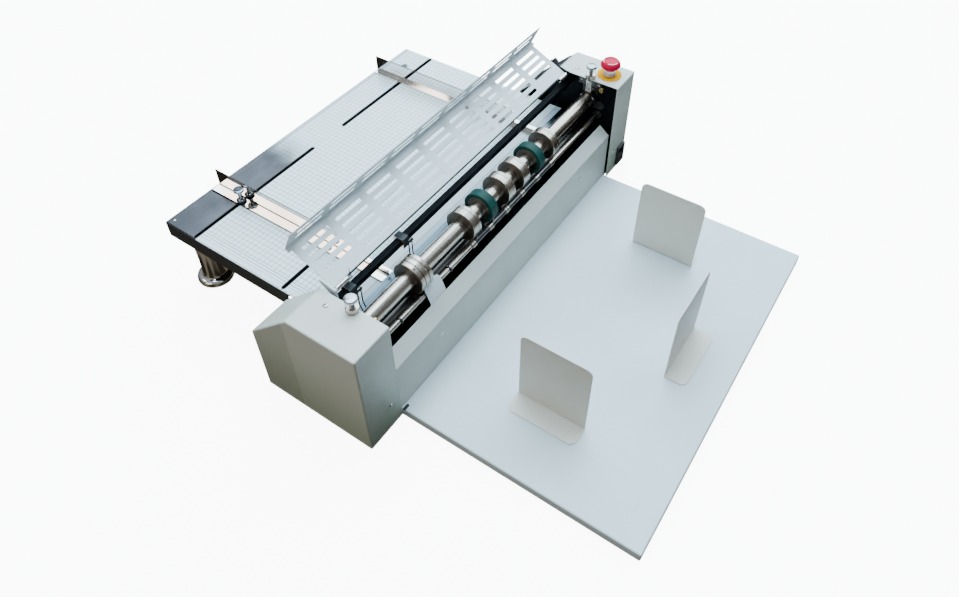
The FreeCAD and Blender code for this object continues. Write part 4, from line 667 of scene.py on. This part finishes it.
def knurled(points, teeth, low, depth, closed=False):
    """A turned body whose widest band carries teeth."""
    mesh = turned_form(points, closed, teeth * 2)
    for vert in mesh.verts:
        radius = math.hypot(vert.co.y, vert.co.z)
        if radius > low and round(math.atan2(vert.co.z, vert.co.y) / math.tau * teeth * 2) % 2:
            vert.co.y *= 1 - depth / radius
            vert.co.z *= 1 - depth / radius
    return mesh


def chamfered(low, high, bore, radius, edge=0.0007, grooves=()):
    """Closed profile of a ring with broken edges. A groove is its middle, half width and floor."""
    points = [(low, bore), (low, radius - edge), (low + edge, radius)]
    for middle, half, floor in grooves:
        points += [(middle - half - 0.0002, radius), (middle - half, radius - 0.0002), (middle - half, floor),
                   (middle + half, floor), (middle + half, radius - 0.0002), (middle + half + 0.0002, radius)]
    return points + [(high - edge, radius), (high, radius - edge), (high, bore)]


def shaft_form(ends):
    """Open profile from a list of start, end and radius with small chamfers."""
    chamfer = 0.0005
    points = [(ends[0][0], 0)]
    for start, end, radius in ends:
        points += [(start, radius - chamfer), (start + chamfer, radius),
                   (end - chamfer, radius), (end, radius - chamfer)]
    return points + [(ends[-1][1], 0)]


# Upper shaft with its wheel, collars and rings
def on_upper(mesh):
    return move(mesh, (0, AXIS_Y, UPPER_Z))


def upper_piece(name, mesh, nodes, slot_name="steel", material=None, ends=None):
    """A piece of the upper shaft. Ends is the finish of the faces that look along the shaft, a darker steel
    that paints shade on them.
    """
    mesh.faces.ensure_lookup_table()
    kinds = [1 if ends and abs(face.normal.x) > 0.9 else 0 for face in mesh.faces]
    piece = finish_piece(name, on_upper(mesh), slot_name, "upper_shaft_set", nodes, material)
    if ends:
        piece.data.materials.append(ends)
        for face, kind in zip(piece.data.polygons, kinds):
            face.material_index = kind
    return piece


upper_piece("upper_shaft_turned", turned_form(shaft_form([
    (-0.430, -0.358, 0.010), (-0.358, 0.358, SHAFT_RADIUS), (0.358, 0.381, 0.010)])), ("upper_shaft",))

SET_SCREWS = bmesh.new()


def set_screw(mesh, along, radius, angle):
    """A dark socket with a bright rim, set into a ring's mesh at an angle from straight up."""
    rim = turned_form([(-0.0005, SET_SCREW), (0.0001, SET_SCREW), (0.0001, SET_SCREW * 1.25),
                       (-0.0005, SET_SCREW * 1.3)], True, 20)
    turn(move(rim, (radius - 0.00005, 0, 0)), UP)
    add(mesh, move(turn(rim, (angle, 0, 0)), (along, 0, 0)))
    # The socket's disc takes the hollow's painted shade
    socket = turned_form([(0, 0), (0.00005, SET_SCREW), (-0.001, SET_SCREW), (-0.001, 0)], steps=20)
    turn(move(socket, (radius - 0.00002, 0, 0)), UP)
    add(SET_SCREWS, move(turn(socket, (angle, 0, 0)), (along, 0, 0)))


def reach(node):
    """Where a node starts and ends along the shafts."""
    return tuple(corner[0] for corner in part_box(node))


low, high = reach("perforating_holder")
wheel = (low + high) / 2
blade = wheel + 0.0046
holder = turned_form(chamfered(low, high, SHAFT_BORE, RING_RADIUS, 0.0012, (
    (wheel - 0.005, 0.0007, 0.0285), (blade, 0.00064, 0.0240), (blade + 0.0022, 0.0004, 0.0290))), True, 120)
for angle in (0.42, 2.51, 4.60):
    set_screw(holder, wheel - 0.0105, RING_RADIUS, angle)
upper_piece("perforating_holder_turned", holder, ("perforating_holder",), ends=END_FACE_SHADE_STEEL)
teeth = knurled([
    (blade - 0.0006, 0.0242), (blade - 0.0006, 0.0300), (blade - 0.0001, 0.0309), (blade + 0.0001, 0.0309),
    (blade + 0.0006, 0.0300), (blade + 0.0006, 0.0242)], 96, RING_RADIUS, 0.0007, True)
upper_piece("perforating_blade_toothed", teeth, ("perforating_blade",))

first, last = reach("stop_collars")
collars = bmesh.new()
for low, high, angle in ((first, first + 0.022, 2.1), (last - 0.020, last, 2.4)):
    grooves = (((low + high) / 2 + 0.0032, 0.0004, 0.0290),)
    add(collars, turned_form(chamfered(low, high, SHAFT_BORE, COLLAR_RADIUS, 0.0009, grooves), True, 120))
    set_screw(collars, low + 0.007, COLLAR_RADIUS, angle)
upper_piece("stop_collars_turned", collars, ("stop_collars",), ends=END_FACE_SHADE_STEEL)
for side in ("left", "right"):
    low, high = reach("creasing_ring_" + side)
    line = (low + high) / 2 + 0.0032
    ring = turned_form(chamfered(low, high, SHAFT_BORE, RING_RADIUS, 0.0009, (
        (line, 0.0004, 0.0290), (line + 0.0042, 0.0003, 0.0297))), True, 120)
    set_screw(ring, low + 0.006, RING_RADIUS, 1.9)
    upper_piece("creasing_ring_" + side + "_turned", ring, ("creasing_ring_" + side,), ends=END_FACE_SHADE_STEEL)
    low, high = reach("drive_ring_" + side)
    tyre = turned_form(chamfered(low, high, RUBBER_BORE, RING_RADIUS, 0.0012), True, 120)
    upper_piece("drive_ring_" + side + "_moulded", tyre, ("drive_ring_" + side,), "green_rubber")
hubs = bmesh.new()
for side in ("left", "right"):
    low, high = reach("drive_ring_" + side)
    add(hubs, turned_form(chamfered(low + 0.0008, high - 0.0008, SHAFT_BORE, 0.0240, 0.001), True, 96))
upper_piece("drive_hubs_turned", hubs, ("drive_hubs",), ends=END_FACE_SHADE_STEEL)
# The set screws' sockets are painted shade
upper_piece("set_screw_sockets", SET_SCREWS, (), "steel", HOLLOW_SHADE)


# Delivery shaft with its bands and sleeves
def on_delivery(mesh):
    return move(mesh, (0, DELIVERY_Y, DELIVERY_Z))


def delivery_piece(name, mesh, nodes, slot_name="steel"):
    return finish_piece(name, on_delivery(mesh), slot_name, "delivery_shaft_set", nodes)


BANDS, BAND_PITCH, FIRST_BAND = 6, 0.053, -0.0915
BAND_RADIUS, BAND_HALF, SLEEVE_GAP, CLIP_HALF = 0.007, 0.0057, 0.0045, 0.0015
GROOVED_BANDS = (0, 2, 3)


def band_form(low, high, edge=0.0004, grooves=(), steps=48):
    """A ring on the delivery shaft."""
    return turned_form(chamfered(low, high, DELIVERY_BORE, BAND_RADIUS, edge, grooves), True, steps)


def sleeve_form(low, high):
    """A dark sleeve that is a little thicker at both ends."""
    half = [(0, DELIVERY_BORE), (0, 0.0059), (0.0004, 0.0063), (0.006, 0.0063), (0.0063, 0.0060)]
    rear = [(high - along, radius) for along, radius in reversed(half)]
    return turned_form([(low + along, radius) for along, radius in half] + rear, True, 48)


delivery_start, delivery_end = -0.409, 0.381
delivery_profile = shaft_form([(delivery_start, delivery_end, DELIVERY_RADIUS)])
delivery_piece("delivery_shaft_turned", turned_form(delivery_profile, steps=48), ("delivery_shaft",))
bands = bmesh.new()
sleeves = bmesh.new()
for number in range(BANDS):
    centre = FIRST_BAND + BAND_PITCH * number
    grooves = ((centre, 0.0004, 0.0062),) if number in GROOVED_BANDS else ()
    add(bands, band_form(centre - BAND_HALF, centre + BAND_HALF, grooves=grooves))
    if number < BANDS - 1:
        add(sleeves, sleeve_form(centre + SLEEVE_GAP, centre + BAND_PITCH - SLEEVE_GAP))
add(bands, band_form(delivery_start, delivery_start + 0.006))
for centre in (-0.2945, -0.1615):
    add(sleeves, band_form(centre - CLIP_HALF, centre + CLIP_HALF, 0.0005, steps=40))
delivery_piece("delivery_bands_turned", bands, ("delivery_bands",))
delivery_piece("delivery_sleeves", sleeves, ("delivery_rollers",), "gloss_black")

# Table legs
leg_foot = [(0, 0), (0, 0.0325), (0.0015, 0.0342), (0.0045, 0.0350), (0.0085, 0.0348), (0.0118, 0.0336),
            (0.0142, 0.0314), (0.0155, 0.0286), (0.0160, 0.0262), (0.0164, 0.0246)]
leg_waist = [(0.0180, 0.0236), (0.0215, 0.0229), (0.028, 0.0221), (0.038, 0.0215), (0.05, 0.0212),
             (0.108, 0.0212), (0.109, 0.0218), (0.1115, 0.0218)]
leg_top = [(0.1125, 0.0214), (0.122, 0.0216), (0.136, 0.0224), (0.147, 0.0238), (0.1515, 0.0240),
           (0.152, 0.0236), (0.152, 0)]
leg = leg_foot + leg_waist + leg_top
legs = bmesh.new()
for side in (-1, 1):
    add(legs, move(turned_form(leg, steps=96), (side * 0.3147, HEAD + 0.5004, 0), UP))
finish_piece("table_legs_turned", legs, "chrome", "machine", ("table_legs",))

# Emergency stop: a yellow disc, a threaded collar and a red head with a dished top
disc = [(-0.0015, 0.0112), (-0.0015, 0.025), (-0.0003, 0.025), (0, 0.0246), (0, 0.0112)]
finish_piece("estop_ring_disc", move(turned_form(disc, True, 72), STOP_PLACE, UP), "yellow_plastic",
             "machine", ("estop_ring",))
THREAD_TURNS, THREAD_PITCH = 6, 0.0011
collar = [(-0.034, 0.0081), (-0.034, 0.0108), (-0.0015, 0.0108), (-0.0015, 0.0109), (0, 0.0109), (0, 0.0133),
          (0.0004, 0.0135), (0.0022, 0.0135), (0.0026, 0.0131)]
for number in range(THREAD_TURNS):
    collar += [(0.0029 + number * THREAD_PITCH, 0.0130), (0.0034 + number * THREAD_PITCH, 0.0126)]
collar += [(0.0096, 0.0127), (0.0132, 0.0126), (0.0136, 0.0122), (0.0136, 0.0081)]
finish_piece("estop_collar_turned", move(turned_form(collar, True, 72), STOP_PLACE, UP), "steel", "machine",
             ("estop_collar",), turned_metal("satin_aluminium", (0.86, 0.86, 0.84), 0.3, (25, 25, 900)))
head_stem = [(0.0015, 0), (0.0015, 0.0080), (0.0180, 0.0080), (0.0180, 0.0112)]
head_side = [(0.0184, 0.0160), (0.0194, 0.0188), (0.0210, 0.0201), (0.0228, 0.0204), (0.0248, 0.0202),
             (0.0272, 0.0193), (0.0296, 0.0178), (0.0316, 0.0160), (0.0327, 0.0146), (0.0331, 0.0132)]
head_dish = [(0.0329, 0.0120), (0.0321, 0.0108), (0.0318, 0.0085), (0.0320, 0.0045), (0.0321, 0.0)]
head = turned_form(head_stem + head_side + head_dish, steps=96)
finish_piece("estop_head", move(head, STOP_PLACE, UP), "red_plastic", "stop_button", ("estop_button",))
MARK_STARTS, MARK_SWEEP = (0.1, 2.2, 4.3), 1.35
marks = bmesh.new()
for start in MARK_STARTS:
    strip = bmesh.new()
    face = strip.faces.new([strip.verts.new(point) for point in (
        (0.03285, 0, 0.0140), (0.0318, 0, 0.0157), (0.0321, 0, 0.0160), (0.03315, 0, 0.0143))])
    bmesh.ops.spin(strip, geom=[face] + face.edges[:] + face.verts[:], cent=(0, 0, 0), axis=(1, 0, 0),
                   angle=MARK_SWEEP, steps=14)
    bmesh.ops.recalc_face_normals(strip, faces=strip.faces)
    add(marks, turn(strip, (start, 0, 0)))
finish_piece("estop_marks", move(marks, STOP_PLACE, UP), "red_plastic", "stop_button", material=WHITE_INK)

# Pressure screws with their lock nuts
SCREW_X, NUT_Z, SCREW_Z = 0.365, 0.242, 0.2375
SCREW_TURNS, SCREW_PITCH = 20, 0.0012
thread = [(0, 0), (0, 0.0036)]
for number in range(SCREW_TURNS):
    thread += [(0.0006 + number * SCREW_PITCH, 0.0040), (0.0012 + number * SCREW_PITCH, 0.0036)]
thread += [(0.0275, 0.0040), (0.0275, 0)]
for side, word in ((-1, "left"), (1, "right")):
    screw_head = knurled([(0.0270, 0), (0.0270, 0.0062), (0.0278, 0.0098), (0.0284, 0.0105), (0.0322, 0.0105),
                          (0.0329, 0.0099), (0.0335, 0.0088), (0.0335, 0)], 48, 0.0104, 0.0004)
    screw = add(turned_form(thread, steps=32), screw_head)
    finish_piece("pressure_screw_" + word + "_turned", move(screw, (side * SCREW_X, AXIS_Y, SCREW_Z), UP),
                 "steel", "screw_" + word, ("pressure_screw_" + word,), SATIN_STEEL)
    nut = knurled([(0.0003, 0.00405), (0.0003, 0.0100), (0.0006, 0.0104), (0.0024, 0.0104), (0.0028, 0.0096),
                   (0.0034, 0.0096), (0.0038, 0.0106), (0.0042, 0.0110), (0.0084, 0.0110), (0.0090, 0.0104),
                   (0.0093, 0.0096), (0.0093, 0.00405)], 40, 0.0109, 0.0004, True)
    finish_piece("lock_nut_" + word + "_turned", move(nut, (side * SCREW_X, AXIS_Y, NUT_Z), UP),
                 "steel", "nut_" + word, ("lock_nut_" + word,))

# The guides' clamping knobs: a foot under the slot, a collar, a slim post and a knurled head with a cap
for word, x in GUIDE_KNOB_X.items():
    place = (x, REAR_SLOT_Y, TABLE_Z)
    knob_foot = [(-0.012, 0), (-0.012, 0.0065), (-0.0026, 0.0065), (-0.0026, 0.0028), (0.00475, 0.0028)]
    knob_collar = [(0.00475, 0.0060), (0.0051, 0.0064), (0.0066, 0.0060), (0.0072, 0.0051), (0.0075, 0.0047),
                   (0.0075, 0.0039)]
    knob_head = [(0.0255, 0.0039), (0.0262, 0.0073), (0.0270, 0.0092), (0.0275, 0.0096), (0.0305, 0.0096),
                 (0.0314, 0.0090), (0.0318, 0.0082), (0.0318, 0)]
    knob = knurled(knob_foot + knob_collar + knob_head, 40, 0.0095, 0.0004)
    finish_piece("guide_knob_" + word + "_turned", move(knob, place, UP), "chrome",
                 "knob_" + word, ("guide_knob_" + word,), SATIN_STEEL)
    plate = [(0.0316, 0), (0.0316, 0.0074), (0.0319, 0.0074), (0.0320, 0.0070), (0.0320, 0)]
    cap = turned_form(plate, steps=48)
    washer = [(0.0048, 0.0035), (0.0048, 0.0092), (0.0054, 0.0092), (0.0056, 0.0089), (0.0056, 0.0035)]
    add(cap, turned_form(washer, True, 48))
    finish_piece("guide_knob_" + word + "_cap", move(cap, place, UP), "chrome",
                 "knob_" + word, material=SATIN_CAP)


# Screw heads of the cover, the housings, the table and the bearing blocks
def screw_form(size):
    """A low round head with an open socket, whose seat is at nought. The outline is in shares of its size."""
    shares = ((0, 0), (0, 1), (0.15, 1), (0.33, 0.86), (0.45, 0.62), (0.48, 0.42), (0.22, 0.36), (0.22, 0))
    return turned_form([(size * along, size * radius) for along, radius in shares], steps=28)


def socket_form(size):
    """The bottom of a screw's socket, which carries the painted shade of the hollow."""
    return turned_form([(size * 0.2, 0), (size * 0.26, size * 0.3), (size * 0.26, 0)], steps=12)


def add_screw(heads, size, place, angles):
    """Puts a screw's head into heads, and its dark socket into the sockets that all screws share."""
    add(heads, move(screw_form(size), place, angles))
    add(sockets, move(socket_form(size), place, angles))


FORWARD = (0, 0, -math.pi / 2)
SHEET_SCREW, TOP_SCREW, RETAINER_SCREW, FLANGE_SCREW = 0.0032, 0.0044, 0.0024, 0.0028
cover_heads = bmesh.new()
sockets = bmesh.new()
for side in (-1, 1):
    add_screw(cover_heads, SHEET_SCREW, (side * 0.238, HEAD + 0.005, 0.091), FORWARD)
    add_screw(cover_heads, SHEET_SCREW, (side * 0.382, HEAD, 0.0665), FORWARD)
    add_screw(cover_heads, TOP_SCREW, (side * 0.3806, HEAD + 0.1046, 0.242), UP)
    add_screw(cover_heads, SHEET_SCREW, (side * 0.339, HEAD + 0.530, TABLE_Z), UP)
finish_piece("cover_screws_turned", cover_heads, "steel", "machine", ("cover_screws",), BRIGHT_STEEL)
plate_screws = bmesh.new()
for side in (-1, 1):
    inward = (0, 0, math.pi if side > 0 else 0)
    for y, z in ((-0.0125, 0.0072), (0.0125, 0.0072), (0.0, -0.0144)):
        add_screw(plate_screws, RETAINER_SCREW, (side * 0.357, AXIS_Y + y, UPPER_Z + z), inward)
    for y in (-0.020, 0.020):
        add_screw(plate_screws, FLANGE_SCREW, (side * 0.366, AXIS_Y + y, 0.2295), inward)
finish_piece("flange_screws", plate_screws, "steel", "machine", material=BRIGHT_STEEL)
# The screws' sockets are painted shade
finish_piece("screw_sockets", sockets, "black_plastic", "machine", material=HOLLOW_SHADE)

# Safety cover's hinge: grooved knuckles, and a coil whose end stands up
knuckles = bmesh.new()
for low, high in ((-0.347, -0.321), (0.321, 0.347)):
    third = (high - low) / 3
    add(knuckles, turned_form(chamfered(low, high, 0.0026, 0.0044, 0.0004, (
        (low + third, 0.00035, 0.0036), (high - third, 0.00035, 0.0036))), True, 40))
finish_piece("cover_knuckles_rolled", move(knuckles, (0, HINGE_Y, HINGE_Z)), "guard_paint", "cover",
             ("cover_knuckles",), BRIGHT_STEEL)
spring = coil_form(-0.3205, 5, 0.0017, 0.0036, 0.0006)
arm = turned_form([(0, 0), (0, 0.0006), (0.0108, 0.0006), (0.0116, 0.0009), (0.0124, 0.0006), (0.0126, 0)],
                  steps=12)
add(spring, move(arm, (-0.3122, 0.0036, 0), (0, -math.pi / 2, 0)))
finish_piece("cover_spring", move(spring, (0, HINGE_Y, HINGE_Z)), "steel", "cover", material=DARK_STEEL)

# Black lip along the safety cover's front edge
lip = block_form((-0.3150, 0.0612, 0.2414), (0.3150, 0.0638, 0.2434), 0.0004)
finish_piece("cover_lip", lip, "black_rubber", "cover")

# Wire coils and polished side plates of the clamps on the crossbar
PLATE_WALL = 0.0004
PLATE_OUTLINE = ((-0.0095, -0.0030), (-0.0062, -0.0030), (-0.0062, 0.0062), (0.0062, 0.0062),
                 (0.0062, -0.0062), (0.0095, -0.0062), (0.0095, 0.0070), (0.0068, 0.0095),
                 (-0.0068, 0.0095), (-0.0095, 0.0070))
for word, x in CLAMP_X.items():
    coil = coil_form(x + 0.004, 4, 0.0021, 0.0030, 0.0008)
    finish_piece("clamp_coil_" + word, move(coil, (0, HEAD + 0.1005, 0.2205)), "steel", "clamp_" + word)
    plates = bmesh.new()
    for side in (-1, 1):
        outline = [(x + side * 0.007, HEAD + 0.113 + y, 0.218 + z) for y, z in PLATE_OUTLINE]
        add(plates, sheet_form(outline, side * PLATE_WALL))
    finish_piece("clamp_plates_" + word, plates, "steel", "clamp_" + word, material=BRIGHT_STEEL)

# Pale guard under the perforating wheel, behind the front cover's upper edge. It leans back as it rises.
GUARD_WALL, GUARD_Z, BEND_Z = 0.0008, 0.138, 0.1445
rounded = [(-0.2310, 0.0), (-0.1900, 0.0), (-0.1900, 0.031), (-0.1910, 0.035), (-0.1938, 0.0378),
           (-0.1975, 0.0388), (-0.2235, 0.0388), (-0.2272, 0.0378), (-0.2300, 0.035), (-0.2310, 0.031)]
shield = sheet_form([(x, 0, z) for x, z in rounded], GUARD_WALL, (0, 1, 0))
upright = [edge for edge in shield.edges if abs(edge.verts[0].co.z - edge.verts[1].co.z) > 0.02]
bmesh.ops.subdivide_edges(shield, edges=upright, cuts=5, use_grid_fill=True)
move(shield, (0, HEAD + 0.0279, GUARD_Z))
for vert in shield.verts:
    rise = max(0.0, vert.co.z - BEND_Z)
    vert.co.y += rise * 0.33 + rise * rise * 4
finish_piece("wheel_guard", shield, "guard_paint", "machine", smooth=50)

# Dark channels under the table's slots, wider and longer than the slots by a margin. They are painted shade
# for the dark seen through the slots.
CHANNEL_MARGIN, CHANNEL_HALF, CHANNEL_FLOOR, CHANNEL_TOP = 0.0025, 0.0082, 0.1372, 0.1518
channels = bmesh.new()
for depth in (REAR_SLOT_Y, FRONT_SLOT_Y):
    inner, outer = SLOT_START - CHANNEL_MARGIN, SLOT_END + CHANNEL_MARGIN
    for start, end in ((-outer, -inner), (inner, outer)):
        tub = block_form((start, depth - CHANNEL_HALF, CHANNEL_FLOOR),
                         (end, depth + CHANNEL_HALF, CHANNEL_TOP))
        top = [face for face in tub.faces if face.normal.z > 0.5]
        bmesh.ops.delete(tub, geom=top, context="FACES_ONLY")
        bmesh.ops.solidify(tub, geom=tub.faces[:], thickness=-0.0004)
        add(channels, tub)
finish_piece("slot_shade_channels", channels, "black_paint", "machine", material=HOLLOW_SHADE)

# Painted shade of a notch in the tray's corner beside the left housing: a flat dark slot with round ends
notch = bmesh.new()
bmesh.ops.create_circle(notch, cap_ends=True, segments=32, radius=0.0030)
bmesh.ops.translate(notch, verts=[vert for vert in notch.verts if vert.co.x < -0.0001], vec=(-0.0070, 0, 0))
made = bmesh.ops.extrude_face_region(notch, geom=notch.faces[:])
raised = [part for part in made["geom"] if isinstance(part, bmesh.types.BMVert)]
bmesh.ops.translate(notch, verts=raised, vec=(0, 0, 0.0001))
bmesh.ops.recalc_face_normals(notch, faces=notch.faces)
finish_piece("tray_notch_shade", move(notch, (-0.3455, HEAD - 0.0005, 0.01775)), "black_rubber", "machine",
             material=HOLLOW_SHADE)


# CAD nodes that keep their form and take a finish of their own, or one for each region
def bearing_region(centre, _normal):
    """A blackened flange and hub, a milled column and ground retainer plates."""
    across = math.hypot(centre.y - AXIS_Y, centre.z - UPPER_Z)
    if abs(centre.x) > 0.3691 or across < 0.0187:
        return 1
    return 3 if abs(centre.y - AXIS_Y) < 0.0062 else 2


def bracket_region(centre, _normal):
    """The left bracket has the safety cover's paint."""
    return 1 if centre.x < 0 else 0


def clamp_region(centre, normal):
    """The clamps' upper left faces are bare."""
    return 1 if normal.x < -0.9 and centre.z > 0.205 else 0


dressed("bearing_blocks", 0.0003, bearing_region, (DARK_STEEL, GREY_STEEL, BRIGHT_STEEL))
dressed("hinge_brackets", 0.0004, bracket_region, (FINISHES["guard_paint"],))
dressed("infeed_guide_plate", material=infeed_steel("infeed_steel"))
for node in ("side_guide_left", "side_guide_right"):
    dressed(node, 0.0003, material=GUIDE_CHROME)
for node in ("bar_clamp_left", "bar_clamp_right"):
    dressed(node, regions=clamp_region, materials=(BRIGHT_STEEL,), material=SLATE)
# The lower shaft's parts are painted darker as shade
for node, body in BODIES.items():
    if body == "lower_shaft_set":
        dressed(node, material=LOWER_SHADE_STEEL)
for node in ("housing_left", "housing_right"):
    dressed(node, 0.0, rounded=0.0026)

# Every node that nothing above replaced keeps its form and its slot's finish
for node in frame["nodes"]:
    if node not in REPLACED:
        dressed(node)

low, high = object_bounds()
